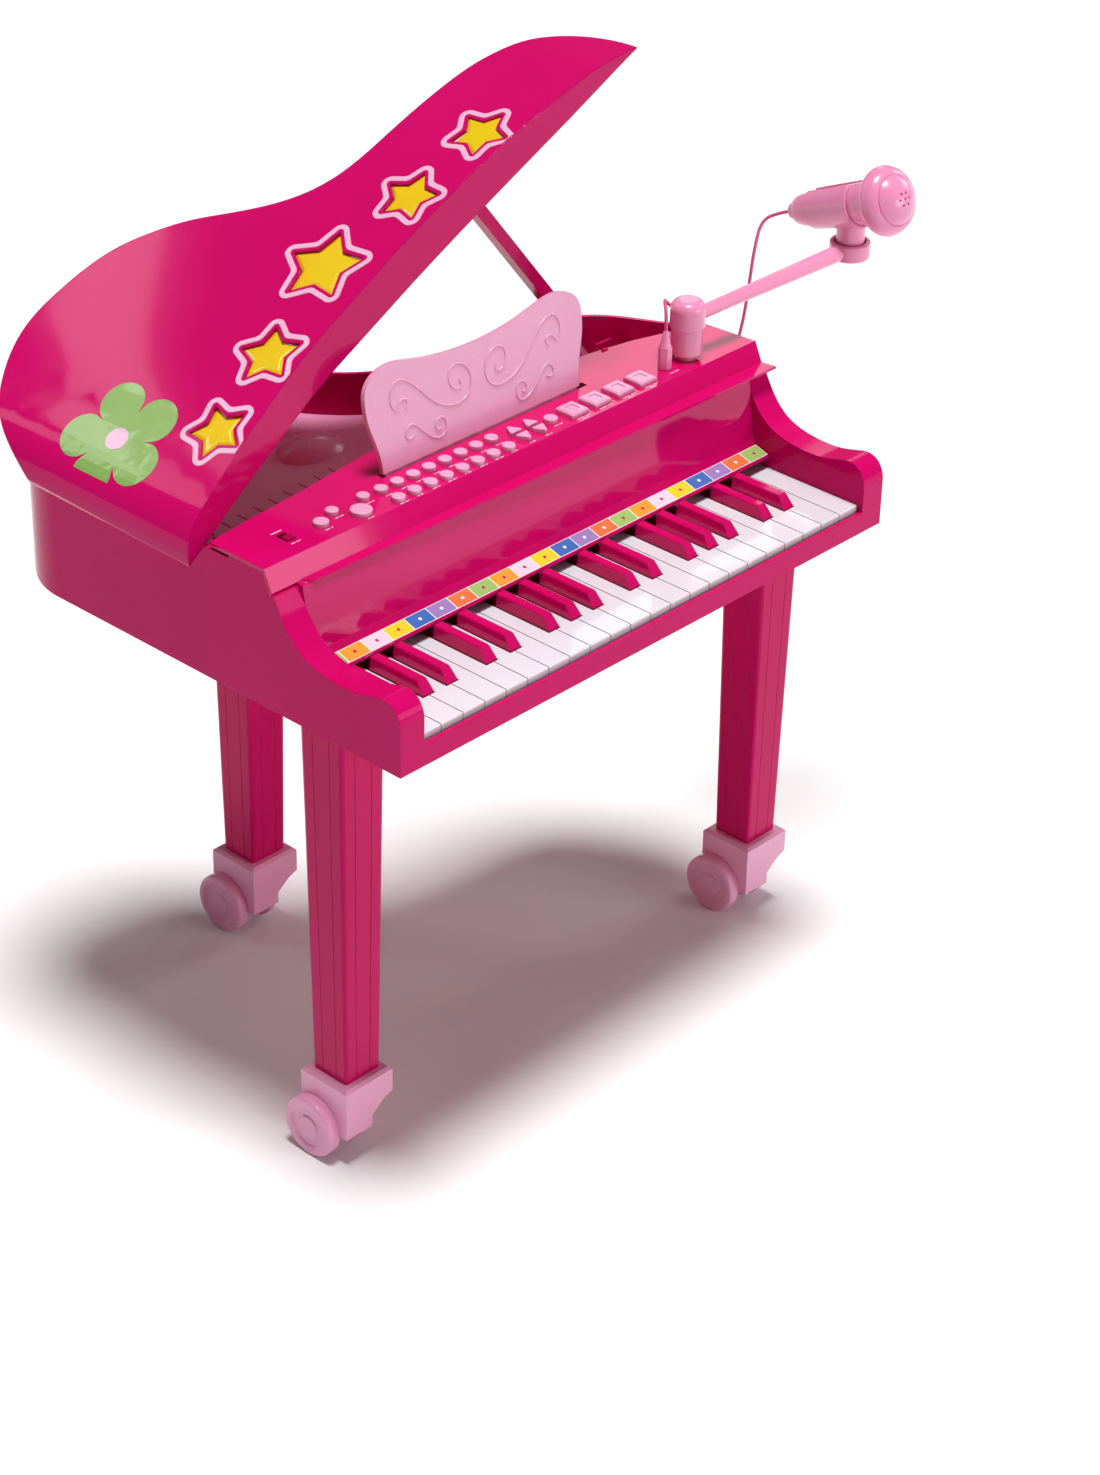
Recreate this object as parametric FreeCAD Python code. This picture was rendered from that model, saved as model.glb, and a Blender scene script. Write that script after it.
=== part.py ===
import FreeCAD, Part
import math
import os

# Toy electronic keyboard in the shape of a small grand piano: a case on three legs, a
# propped lid with star windows, 37 keys, push buttons, a music stand and a microphone arm.
# All sizes are in millimetres. The model is laid out on the keyboard: X runs from the left
# cheek to the right one, Y runs from the front edge of the white keys to the tail, and Z is
# up from the top of the white keys. At the end everything is shifted so that the origin is
# on the floor, under the middle of the object.

V = FreeCAD.Vector
X_AXIS = V(1, 0, 0)
Y_AXIS = V(0, 1, 0)
Z_AXIS = V(0, 0, 1)

# ---- driving dimensions ----------------------------------------------------------------
KEY_PITCH = 20.0
WHITE_COUNT = 22
KEYBED_WIDTH = KEY_PITCH * WHITE_COUNT
CHEEK = 21.4
CASE_BOTTOM = -20.5
RIM_TOP = 82.0
FLOOR = -368.0
WALL = 3.0
SKIN = 2.5
ORIGIN = V(278.54, 200.5, FLOOR)

# keys
KEY_GAP = 0.35
KEY_HEIGHT = 13.0
KEY_SKIN = 2.0
KEY_PIVOT_Y = 108.0
KEY_PIVOT_Z = -7.5
KNUCKLE = 4.5
BLACK_FRONT = 31.0
BLACK_WIDTH = 10.0
BLACK_TOP = 9.5
BLACK_GAP = 0.8
SHARP_AFTER = {0: -1.6, 1: 0.0, 2: 1.6, 4: -1.4, 5: 1.4}

# control panel and fallboard
PANEL_FRONT = 117.0
PANEL_UNDER = RIM_TOP - SKIN
LEDGE_Z = 67.0
PANEL_REAR = [(-21.4, 168), (18, 173), (61, 177), (102, 182), (138, 187), (195, 189.5),
              (244, 190.5), (300, 190), (351, 188), (374, 184), (396, 180), (426, 171),
              (440, 167), (456.5, 163)]
BUTTON_TRAVEL = 1.5
BUTTON_TOP = RIM_TOP + 3.2
BUTTON_GAP = 0.35

# lid, in the lid's own frame: S across from the hinge, N up from its lower rim
HINGE = V(-14.8, 0, RIM_TOP + 0.4)
LID_OPEN = 30.0
LID_SKIN = 2.6
LID_CAMBER = [(-26, 0), (-8, 19), (24, 23.5), (58, 26.5), (100, 28.5), (168, 30.5), (258, 31),
              (300, 30), (340, 27), (371, 23), (404, 17.5), (426, 12), (442, 6), (456, 0.5)]
STARS = [(332.7, 201.0, 20.5, -8), (266.6, 208.5, 21.0, 9), (194.3, 226.1, 28.8, 16.6),
         (120.1, 212.1, 22.5, 28), (56.6, 204.7, 21.1, 44.5)]
STAR_WAIST = 0.55
LENS_GAP = 0.15

# prop that holds the lid
PROP_PIVOT = V(393.5, 210.0, 58.8)
PROP_LENGTH = 225.0
PROP_REST = 129.44
PROP_FOLDED = 180.0
PROP_WIDTH = 11.0
PROP_THICK = 9.0
PROP_TAPER = 24.0

# legs: centre of each, half width at the top and at the bottom
LEGS = [(8.2, 78.2), (431.8, 78.2), (150.3, 324.2)]
LEG_TOP = 19.7
LEG_END = 16.1
LEG_END_Z = -301.7
FLANGE = 2.5

# microphone
POST = V(404.0, 134.0, RIM_TOP)
RING = V(571.6, 122.5, 118.2)
RING_R = 15.1
RING_HALF = 6.4
MIC_CENTRE = RING + V(0, 0, 34.3)
MIC_TILT = 22.4
MIC_YAW = 4.6
PLUG = V(379.6, 132.7, RIM_TOP)
CORD_D = 2.6
CORD_ROUTE = [(379.6, 132.7, 111), (379.6, 132.7, 124), (388.5, 143, 129), (403, 153, 119),
              (427, 165, 101), (451, 179, 86), (464, 192, 54), (468, 199, 14), (478, 203, -20),
              (499, 206, -36), (522, 206, -26), (538, 203, 4), (547, 200, 38), (550, 198, 71),
              (555, 199, 98), (568, 204, 117), (577.25, 192.72, 123.46), (576.36, 181.71, 128.02)]


# ---- small helpers -----------------------------------------------------------------------
def box(x0, x1, y0, y1, z0, z1):
    return Part.makeBox(x1 - x0, y1 - y0, z1 - z0, V(x0, y0, z0))


def rod(start, direction, length, radius):
    return Part.makeCylinder(radius, length, start, direction)


def cone(start, direction, length, r0, r1):
    return Part.makeCone(r0, r1, length, start, direction)


def polygon(points):
    return Part.makePolygon(list(points) + [points[0]])


def prism(points, direction):
    return Part.Face(polygon(points)).extrude(direction)


def side_prism(profile, x0, x1):
    """A profile of (y, z) points, run along X."""
    return prism([V(x0, y, z) for y, z in profile], V(x1 - x0, 0, 0))


def plan_prism(outline, z0, z1):
    """An outline of (x, y) points, run up along Z."""
    return prism([V(x, y, z0) for x, y in outline], V(0, 0, z1 - z0))


def joined(shapes):
    return shapes[0].multiFuse(shapes[1:]).removeSplitter()


def curve(points):
    spline = Part.BSplineCurve()
    spline.interpolate([V(*p) for p in points])
    return spline.toShape()


def inset_loop(points, inset):
    """The closed loop of (a, b) points moved inwards, each corner along its own mitre."""
    area = sum(a[0] * b[1] - b[0] * a[1] for a, b in zip(points, points[1:] + points[:1]))
    side = 1 if area > 0 else -1
    moved = []
    for before, here, after in zip(points[-1:] + points[:-1], points, points[1:] + points[:1]):
        normals = []
        for p, q in ((before, here), (here, after)):
            run = math.hypot(q[0] - p[0], q[1] - p[1])
            normals.append(((p[1] - q[1]) / run * side, (q[0] - p[0]) / run * side))
        (ax, ay), (bx, by) = normals
        scale = inset / (1 + ax * bx + ay * by)
        moved.append((here[0] + (ax + bx) * scale, here[1] + (ay + by) * scale))
    return moved


def outline_face(runs, inset, place):
    """A face bounded by runs of points, each a smooth curve (True) or straight lines (False)."""
    loop = []
    for points, smooth in runs:
        loop += points[:-1]
    loop = inset_loop(loop, inset)
    edges = []
    start = 0
    for points, smooth in runs:
        spots = [place(*loop[(start + k) % len(loop)]) for k in range(len(points))]
        start += len(points) - 1
        if smooth:
            edges.append(curve(spots))
        else:
            edges += [Part.makeLine(a, b) for a, b in zip(spots, spots[1:])]
    return Part.Face(Part.Wire(edges))


# ---- outline of the case, seen from above ---------------------------------------------------
TAIL = [(-21.4, 322), (-18, 346), (-6, 368), (12, 385), (36, 396), (60, 399.5), (85, 396.5),
        (109, 391), (131, 382), (151, 367.5), (168.5, 349.5), (186, 324.5), (199.5, 304.5),
        (211, 290.5), (225, 278), (243.5, 267), (266.5, 261), (291.5, 258.8), (316.5, 256.8),
        (341, 254.3), (365, 251), (387.5, 244.5), (405, 234), (419, 219), (430, 200),
        (440, 181.5)]
RIGHT = KEYBED_WIDTH + CHEEK
FRONT_Y = -5.0


CORNERS = [(440, 181.5), (457, 163), (460, 114), (RIGHT, 60), (RIGHT, FRONT_Y),
           (-CHEEK, FRONT_Y), (-CHEEK, 322)]


def case_face(z, inset=0.0):
    """The whole plan outline of the case as a face at height z, drawn in by this much."""
    return outline_face([(TAIL, True), (CORNERS, False)], inset, lambda x, y: V(x, y, z))


# ---- cheeks: the S-shaped ends beside the keys ------------------------------------------------
CHEEK_S = [(-5, 13), (-3.5, 22), (1.5, 28.5), (9, 31), (18, 29.5), (32, 26), (52, 25), (70, 27.5),
           (84, 33), (95, 43), (103, 55), (109, LEDGE_Z)]
CHEEK_BACK = 125.0


CHEEK_REST = [(109, LEDGE_Z), (PANEL_FRONT, PANEL_UNDER), (CHEEK_BACK, PANEL_UNDER),
              (CHEEK_BACK, CASE_BOTTOM), (FRONT_Y, CASE_BOTTOM), (FRONT_Y, 13)]


def cheek_face(x, inset=0.0):
    return outline_face([(CHEEK_S, True), (CHEEK_REST, False)], inset, lambda y, z: V(x, y, z))


def cheek(x0, x1):
    """One hollow cheek, open underneath."""
    outer = cheek_face(x0).extrude(V(x1 - x0, 0, 0))
    cavity = cheek_face(x0 + SKIN, SKIN).extrude(V(x1 - x0 - 2 * SKIN, 0, 0))
    under = box(x0 + SKIN, x1 - SKIN, FRONT_Y + SKIN, CHEEK_BACK - SKIN, CASE_BOTTOM - 1, 0)
    return outer.cut(cavity).cut(under)


# ---- case ----------------------------------------------------------------------------------
KEYSLIP_TOP = -4.5
SHELF_Z = 44.4
HINGE_LUGS = [190.0, 312.0]
LUG = 8.0
HINGE_PIN = 2.4


def hinge_lug(y):
    """A lug on the left wall that carries the lid's pin."""
    lug = joined([rod(V(HINGE.x, y, HINGE.z), Y_AXIS, LUG, 4.0),
                  box(-CHEEK + 1, HINGE.x + 3.0, y, y + LUG, 62, HINGE.z - 1.5)])
    return joined([lug, rod(V(HINGE.x, y - 5, HINGE.z), Y_AXIS, LUG + 10, HINGE_PIN)])


def prop_bracket():
    lugs = []
    for y in (PROP_PIVOT.y - 8.7, PROP_PIVOT.y + 6.2):
        lug = box(PROP_PIVOT.x, 430, y, y + 2.5, 50.4, 65)
        nose = rod(V(PROP_PIVOT.x, y, PROP_PIVOT.z), Y_AXIS, 2.5, 6.5)
        lugs.append(joined([lug, nose]))
    hole = rod(V(PROP_PIVOT.x, PROP_PIVOT.y - 12, PROP_PIVOT.z), Y_AXIS, 24, 2.3)
    return joined(lugs).cut(hole).cut(box(380, 440, 190, 230, 40, 50.4))


def case_shell():
    height = RIM_TOP - CASE_BOTTOM
    outer = case_face(CASE_BOTTOM).extrude(V(0, 0, height))
    ring = outer.cut(case_face(CASE_BOTTOM - 1, WALL).extrude(V(0, 0, height + 2)))
    shelf = case_face(SHELF_Z, 1.0).extrude(V(0, 0, 2.6))
    shelf = shelf.cut(case_face(SHELF_Z - 1, 7.0).extrude(V(0, 0, 5)))
    shelf = shelf.cut(box(-30, 470, -10, 196, SHELF_Z - 1, SHELF_Z + 5))
    ring = ring.fuse(shelf)
    ring = ring.cut(box(-30, 470, -10, PANEL_FRONT + 3, CASE_BOTTOM - 1, RIM_TOP + 1))
    panel_seat = [(RIGHT + 5, 100), (-CHEEK - 5, 100), (-CHEEK - 5, 168)] + PANEL_REAR
    ring = ring.cut(plan_prism(panel_seat + [(RIGHT + 5, 163)], PANEL_UNDER, RIM_TOP + 5))
    ring = ring.cut(box(-30, -10, 150, 345, 77.4, RIM_TOP + 1))
    keyslip = box(-CHEEK, RIGHT, FRONT_Y, FRONT_Y + WALL, CASE_BOTTOM, KEYSLIP_TOP)
    rail = box(0, KEYBED_WIDTH, KEY_PIVOT_Y, KEY_PIVOT_Y + 9, CASE_BOTTOM + SKIN, 0.5)
    rail = rail.cut(rod(V(-1, KEY_PIVOT_Y, KEY_PIVOT_Z), X_AXIS, KEYBED_WIDTH + 2, KNUCKLE + 0.3))
    pieces = [ring, cheek(-CHEEK, 0), cheek(KEYBED_WIDTH, RIGHT), keyslip, rail]
    pieces += [hinge_lug(y) for y in HINGE_LUGS]
    pieces.append(prop_bracket().common(outer))
    plate_seat = case_face(CASE_BOTTOM - 1, WALL).extrude(V(0, 0, SKIN + 1))
    riser_seat = side_prism([(100, 64.9), (111.7, 64.9), (118.7, PANEL_UNDER),
                             (130, PANEL_UNDER), (130, 90), (100, 90)], -CHEEK - 1, RIGHT + 1)
    return joined(pieces).cut(plate_seat).cut(riser_seat)


GRILLE_CENTRE = (95.0, 250.0)
BATTERY_BAY = (250.0, 330.0, 150.0, 205.0)


def base_plate():
    plate = case_face(CASE_BOTTOM, WALL + 0.1).extrude(V(0, 0, SKIN))
    x0, x1, y0, y1 = BATTERY_BAY
    plate = plate.cut(box(x0, x1, y0, y1, CASE_BOTTOM - 1, CASE_BOTTOM + SKIN + 1))
    holes = []
    for ring in (8.0, 16.0, 24.0):
        count = int(ring * 0.75)
        for i in range(count):
            turn = 2 * math.pi * i / count
            centre = V(GRILLE_CENTRE[0] + ring * math.cos(turn),
                       GRILLE_CENTRE[1] + ring * math.sin(turn), CASE_BOTTOM - 1)
            holes.append(rod(centre, Z_AXIS, SKIN + 2, 1.8))
    plate = plate.cut(Part.makeCompound(holes))
    walls = box(x0 - 2, x1 + 2, y0 - 2, y1 + 2, CASE_BOTTOM + SKIN, 0)
    walls = walls.cut(box(x0, x1, y0, y1, CASE_BOTTOM, -1.8))
    return joined([plate, walls])


def battery_door():
    x0, x1, y0, y1 = BATTERY_BAY
    plate = box(x0 + 0.4, x1 - 0.4, y0 + 0.4, y1 - 0.4, CASE_BOTTOM, CASE_BOTTOM + 1.8)
    ribs = [box(x, x + 1.6, y0 + 8, y1 - 8, CASE_BOTTOM + 1.8, CASE_BOTTOM + 4.5)
            for x in (x0 + 22, x1 - 23.6)]
    grip = [box(x0 + 30 + 5 * i, x0 + 32 + 5 * i, y0 + 4, y0 + 12, CASE_BOTTOM - 0.01,
                CASE_BOTTOM + 0.6) for i in range(5)]
    return joined([plate] + ribs).cut(Part.makeCompound(grip))


# ---- buttons, switch and the panel that they sit in --------------------------------------------
ROUND_BUTTONS = [(106 + 15 * k, 140.7, 4.8) for k in range(8)]
ROUND_BUTTONS += [(106 + 15 * k, 124.3, 4.8) for k in range(8)]
ROUND_BUTTONS += [(45.7, 134.8, 5.4), (61.7, 141.3, 4.6), (75.8, 128.4, 7.6), (90.4, 141.6, 4.6),
                  (261.3, 132.5, 5.0)]
ARROWS = [(229.8, 137.9, 90), (245.8, 137.9, 90), (229.8, 127.5, -90), (245.8, 127.5, -90)]
ARROW_R = 6.9
SQUARE_BUTTONS = [282.0, 305.3, 329.0, 352.3]
SQUARE_Y = 131.6
SQUARE = 16.5
SWITCH = (18.0, 138.4)
FLANGE_Z = PANEL_UNDER - 0.2


def triangle(x, y, turn, radius, z0, z1):
    corners = []
    for i in range(3):
        a = math.radians(turn + 120 * i)
        corners.append((x + radius * math.cos(a), y + radius * math.sin(a)))
    solid = plan_prism(corners, z0, z1)
    upright = [e for e in solid.Edges if abs(e.tangentAt(e.FirstParameter).z) > 0.9]
    return solid.makeFillet(1.2, upright)


def round_button(x, y, radius):
    cap = rod(V(x, y, FLANGE_Z - 1.2), Z_AXIS, BUTTON_TOP - FLANGE_Z + 1.2, radius)
    cap = cap.makeFillet(0.8, [cap.Edges[0]]) if cap.Edges[0].CenterOfMass.z > RIM_TOP else cap
    flange = rod(V(x, y, FLANGE_Z - 1.2), Z_AXIS, 1.2, radius + 0.7)
    return joined([cap, flange])


def round_buttons():
    return Part.makeCompound([round_button(*b) for b in ROUND_BUTTONS])


def arrow_buttons():
    buttons = []
    for x, y, turn in ARROWS:
        cap = triangle(x, y, turn, ARROW_R, FLANGE_Z - 1.2, BUTTON_TOP - 0.4)
        flange = triangle(x, y, turn, ARROW_R + 1.6, FLANGE_Z - 1.2, FLANGE_Z)
        buttons.append(joined([cap, flange]))
    return Part.makeCompound(buttons)


def square_buttons():
    buttons = []
    for x in SQUARE_BUTTONS:
        h = SQUARE / 2
        cap = box(x - h, x + h, SQUARE_Y - h, SQUARE_Y + h, FLANGE_Z - 1.2, BUTTON_TOP + 0.4)
        top = [e for e in cap.Edges if e.CenterOfMass.z > BUTTON_TOP]
        cap = cap.makeChamfer(1.2, top)
        dish = box(x - h + 4.5, x + h - 4.5, SQUARE_Y - h + 4.5, SQUARE_Y + h - 4.5,
                   BUTTON_TOP - 0.2, BUTTON_TOP + 1)
        flange = box(x - h - 1.2, x + h + 1.2, SQUARE_Y - h - 1.2, SQUARE_Y + h + 1.2,
                     FLANGE_Z - 1.2, FLANGE_Z)
        buttons.append(joined([cap, flange]).cut(dish))
    return Part.makeCompound(buttons)


def power_switch():
    x, y = SWITCH
    slider = box(x - 5, x + 5, y - 8, y + 4, FLANGE_Z - 1.2, FLANGE_Z - 0.1)
    knob = box(x - 3.6, x + 3.6, y - 5.5, y + 0.5, FLANGE_Z - 1.2, RIM_TOP + 1.6)
    ridges = [box(x - 4, x + 4, y - 5 + 1.5 * i, y - 4.3 + 1.5 * i, RIM_TOP + 1.1, RIM_TOP + 2)
              for i in range(4)]
    return joined([slider, knob]).cut(Part.makeCompound(ridges))


STAND_SLOT = (120.0, 321.0, 153.2, 158.6)


def panel_holes():
    gap = BUTTON_GAP
    z0, z1 = PANEL_UNDER - 1, RIM_TOP + 1
    holes = [rod(V(x, y, z0), Z_AXIS, z1 - z0, r + gap) for x, y, r in ROUND_BUTTONS]
    holes += [triangle(x, y, turn, ARROW_R + 2 * gap, z0, z1) for x, y, turn in ARROWS]
    h = SQUARE / 2 + gap
    holes += [box(x - h, x + h, SQUARE_Y - h, SQUARE_Y + h, z0, z1) for x in SQUARE_BUTTONS]
    x, y = SWITCH
    holes.append(box(x - 4, x + 4, y - 6, y + 6, z0, z1))
    x0, x1, y0, y1 = STAND_SLOT
    holes.append(box(x0, x1, y0, y1, z0, z1))
    holes.append(rod(V(PLUG.x, PLUG.y, z0), Z_AXIS, z1 - z0, 3.1))
    return Part.makeCompound(holes)


BOARD_Z = FLANGE_Z - 1.2 - BUTTON_TRAVEL - 0.8
BOARD_POSTS = [(34, 124), (34, 147.5), (221, 147.5), (363.9, 147.5)]
FALLBOARD = [(PANEL_FRONT, RIM_TOP), (110, LEDGE_Z), (104.5, LEDGE_Z - 1), (101.5, 50), (96.5, 20),
             (94.5, 14.5), (82, 10.6), (81.4, 8.6), (83.6, 8.2), (95.8, 11.8), (98.8, 19),
              (104, 49.5), (107, 64), (111.6, 65), (118.6, PANEL_UNDER), (118.6, RIM_TOP)]
RISER = [(PANEL_FRONT, RIM_TOP), (110, LEDGE_Z), (110.6, 65), (111.6, 65), (118.6, PANEL_UNDER),
         (118.6, RIM_TOP)]
LEDGE = [(3, 111), (9, 103), (RIGHT + 0.8, 98), (RIGHT - 1.5, 111)]


def control_panel():
    top = plan_prism([(RIGHT - 1.2, PANEL_FRONT), (-CHEEK, PANEL_FRONT)] + PANEL_REAR,
                     PANEL_UNDER, RIM_TOP)
    fall = side_prism(FALLBOARD, 0.2, KEYBED_WIDTH - 0.2)
    riser = side_prism(RISER, -CHEEK, RIGHT - 0.8)
    ledge = plan_prism(LEDGE, LEDGE_Z - 1.2, LEDGE_Z + 0.6)
    inner = [(x, y) for x, y in PANEL_REAR if 0 < x < KEYBED_WIDTH]
    partition = plan_prism(inner + [(x, y - SKIN) for x, y in reversed(inner)], 50.2,
                           PANEL_UNDER + 1)
    x0, x1, y0, y1 = STAND_SLOT
    pocket = box(x0 - 2, x1 + 2, y0 - 2, y1 + 4, RIM_TOP - 14, PANEL_UNDER + 0.5)
    pocket = pocket.cut(box(x0, x1, y0, y1 + 2, RIM_TOP - 12, RIM_TOP))
    jack = rod(V(PLUG.x, PLUG.y, PANEL_UNDER - 12), Z_AXIS, 12.5, 5.0)
    jack = jack.cut(rod(V(PLUG.x, PLUG.y, PANEL_UNDER - 11), Z_AXIS, 14, 3.1))
    panel = joined([top, fall, riser, ledge, partition])
    panel = panel.cut(panel_holes())
    posts = [rod(V(x, y, BOARD_Z), Z_AXIS, PANEL_UNDER + 0.5 - BOARD_Z, 2) for x, y in BOARD_POSTS]
    nub = rod(V(369, 182.6, RIM_TOP), X_AXIS, 5, 1.3)
    return joined([panel, pocket, jack, nub] + posts)


# ---- soundboard ----------------------------------------------------------------------------
BOARD_TOP = 50.0
DOMES = [(158.0, 263.0, 30.0, 21.0, 9.0), (222.0, 236.0, 20.0, 12.0, 6.0)]


def dome(x, y, a, b, rise):
    ball = Part.makeSphere(1.0, V(0, 0, 0))
    matrix = FreeCAD.Matrix()
    matrix.scale(V(a, b, rise * 1.6))
    shape = ball.transformGeometry(matrix)
    shape.translate(V(x, y, BOARD_TOP - rise * 0.6))
    return shape.common(box(x - a - 1, x + a + 1, y - b - 1, y + b + 1, BOARD_TOP - 1.5, 90))


def soundboard():
    plate = case_face(BOARD_TOP - 3, WALL + 0.2).extrude(V(0, 0, 3))
    front = [(-40, -20), (-40, 169)] + [(x, y + 0.4) for x, y in PANEL_REAR] + [(470, -20)]
    plate = plate.cut(plan_prism(front, 0, 90))
    bridge = box(20, 160, 206, 212, BOARD_TOP - 1, BOARD_TOP + 4)
    board = joined([plate, bridge] + [dome(*d) for d in DOMES])
    slots = []
    for i in range(9):
        x = 26 + 15 * i
        slots.append(box(x, x + 1.6, 214, 226 + i, BOARD_TOP - 1.2, BOARD_TOP + 0.5))
        slots.append(box(x + 4, x + 5.6, 190, 204, BOARD_TOP - 1.2, BOARD_TOP + 0.5))
    return board.cut(Part.makeCompound(slots))


# ---- inside --------------------------------------------------------------------------------
def speaker():
    x, y = GRILLE_CENTRE
    z = CASE_BOTTOM + SKIN
    frame = rod(V(x, y, z), Z_AXIS, 3, 33).cut(rod(V(x, y, z - 1), Z_AXIS, 5, 27))
    basket = cone(V(x, y, z + 3), Z_AXIS, 12, 32, 16)
    basket = basket.cut(cone(V(x, y, z + 1.5), Z_AXIS, 12, 31, 15))
    return joined([frame, basket, rod(V(x, y, z + 13), Z_AXIS, 9, 16)])


def circuit_boards():
    main = box(30, 366, 121, 150, BOARD_Z - 1.6, BOARD_Z)
    key_board = box(4, KEYBED_WIDTH - 4, 50, 72, CASE_BOTTOM + SKIN, CASE_BOTTOM + SKIN + 1.4)
    return Part.makeCompound([main, key_board])


# ---- keys ----------------------------------------------------------------------------------
def black_centre(boundary):
    """Centre of the black key after this white key, or None where there is none."""
    offset = SHARP_AFTER.get(boundary % 7)
    if offset is None or not 0 <= boundary < WHITE_COUNT - 1:
        return None
    return (boundary + 1) * KEY_PITCH + offset


def knuckle(x0, x1):
    """The rounded rear end that a key turns on."""
    return rod(V(x0, KEY_PIVOT_Y, KEY_PIVOT_Z), X_AXIS, x1 - x0, KNUCKLE)


def white_key(i):
    x0, x1 = i * KEY_PITCH + KEY_GAP, (i + 1) * KEY_PITCH - KEY_GAP
    left, right = x0, x1
    reach = BLACK_WIDTH / 2 + BLACK_GAP
    if black_centre(i - 1) is not None:
        left = black_centre(i - 1) + reach
    if black_centre(i) is not None:
        right = black_centre(i) - reach
    step = BLACK_FRONT - BLACK_GAP
    outline = [(x0, 0), (x1, 0), (x1, step)]
    if right != x1:
        outline.append((right, step))
    outline += [(right, KEY_PIVOT_Y), (left, KEY_PIVOT_Y)]
    if left != x0:
        outline.append((left, step))
    outline.append((x0, step))
    body = plan_prism(outline, -KEY_HEIGHT, 0)
    front = [e for e in body.Edges if e.CenterOfMass.z > -0.01 and e.CenterOfMass.y < 0.01]
    body = body.makeFillet(1.0, front)
    hollow = box(x0 + 1.5, x1 - 1.5, 1.8, step - 1.6, -KEY_HEIGHT - 1, -KEY_SKIN)
    hollow = hollow.fuse(box(left + 1.5, right - 1.5, 1.8, 98, -KEY_HEIGHT - 1, -KEY_SKIN))
    relief = box(x0 - 1, x1 + 1, KEY_PIVOT_Y - 6, KEY_PIVOT_Y + 1, -KEY_HEIGHT - 1,
                 KEY_PIVOT_Z - 2.5)
    return joined([body.cut(hollow).cut(relief), knuckle(left, right)])


BLACK_SIDE = [(BLACK_FRONT, -10), (BLACK_FRONT, 0.6), (BLACK_FRONT + 7, BLACK_TOP),
              (80.2, BLACK_TOP), (80.2, -1), (KEY_PIVOT_Y, -2.5), (KEY_PIVOT_Y, -10)]


def black_key(centre):
    half = BLACK_WIDTH / 2
    slab = side_prism(BLACK_SIDE, centre - half, centre + half)
    section = [(-half, -11), (half, -11), (half, 1.2), (half - 1.1, BLACK_TOP - 0.9),
               (half - 1.9, BLACK_TOP + 0.01), (1.9 - half, BLACK_TOP + 0.01),
               (1.1 - half, BLACK_TOP - 0.9), (-half, 1.2)]
    mould = prism([V(centre + x, 0, z) for x, z in section], V(0, 140, 0))
    hollow = box(centre - half + 1.6, centre + half - 1.6, BLACK_FRONT + 9, 98, -11, 6)
    body = slab.common(mould).cut(hollow)
    return joined([body, knuckle(centre - half, centre + half)])


# ---- legs and feet ---------------------------------------------------------------------------
def grooved_square(x, y, z, half):
    """A square with eased corners and two shallow grooves on each side."""
    points = []
    for turn in range(4):
        a = math.pi / 2 * turn
        for u, v in ((-0.96, 0.96), (-0.86, 1), (-0.42, 1), (-0.40, 0.97), (-0.38, 1),
                     (0.38, 1), (0.40, 0.97), (0.42, 1), (0.86, 1)):
            px, py = half * u, -half * v
            points.append(V(x + px * math.cos(a) - py * math.sin(a),
                            y + px * math.sin(a) + py * math.cos(a), z))
    return polygon(points)


def square_wire(x, y, z, half):
    return polygon([V(x - half, y - half, z), V(x + half, y - half, z),
                    V(x + half, y + half, z), V(x - half, y + half, z)])


def leg(x, y):
    top = CASE_BOTTOM - FLANGE
    outer = Part.makeLoft([grooved_square(x, y, top, LEG_TOP),
                           grooved_square(x, y, LEG_END_Z - 3, LEG_END)], True, True)
    inner = Part.makeLoft([square_wire(x, y, top - 6, LEG_TOP - 4),
                           square_wire(x, y, LEG_END_Z - 4, LEG_END - 4)], True, True)
    plate = box(x - LEG_TOP - 2.2, x + LEG_TOP + 2.2, y - LEG_TOP - 2.2, y + LEG_TOP + 2.2, top,
                CASE_BOTTOM)
    plate = plate.makeFillet(3, [e for e in plate.Edges if e.Length < FLANGE + 0.1])
    return joined([outer.cut(inner), plate])


COLLAR = 22.3
COLLAR_Z = -304.8
COLLAR_END = -325.0
BODY_END = -345.5
WHEEL_R = 23.0
WHEEL_FLAT = 0.4
WHEEL_BACK = 7.7
AXLE_Z = FLOOR + WHEEL_R - WHEEL_FLAT


def wheel(x, y, side, width, bevel):
    """One fixed disc of the twin wheel: a dished face, a hub, and a small flat to stand on."""
    disc = rod(V(x, y, AXLE_Z), V(side, 0, 0), width, WHEEL_R)
    disc = disc.makeFillet(bevel, [e for e in disc.Edges if abs(e.CenterOfMass.x - x) > width / 2])
    face = x + side * width
    dish = cone(V(face, y, AXLE_Z), V(-side, 0, 0), 1.5, 17, 14.5)
    hub = cone(V(face - side * 1.6, y, AXLE_Z), V(side, 0, 0), 1.3, 9.5, 8.2)
    return joined([disc.cut(dish), hub])


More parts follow.
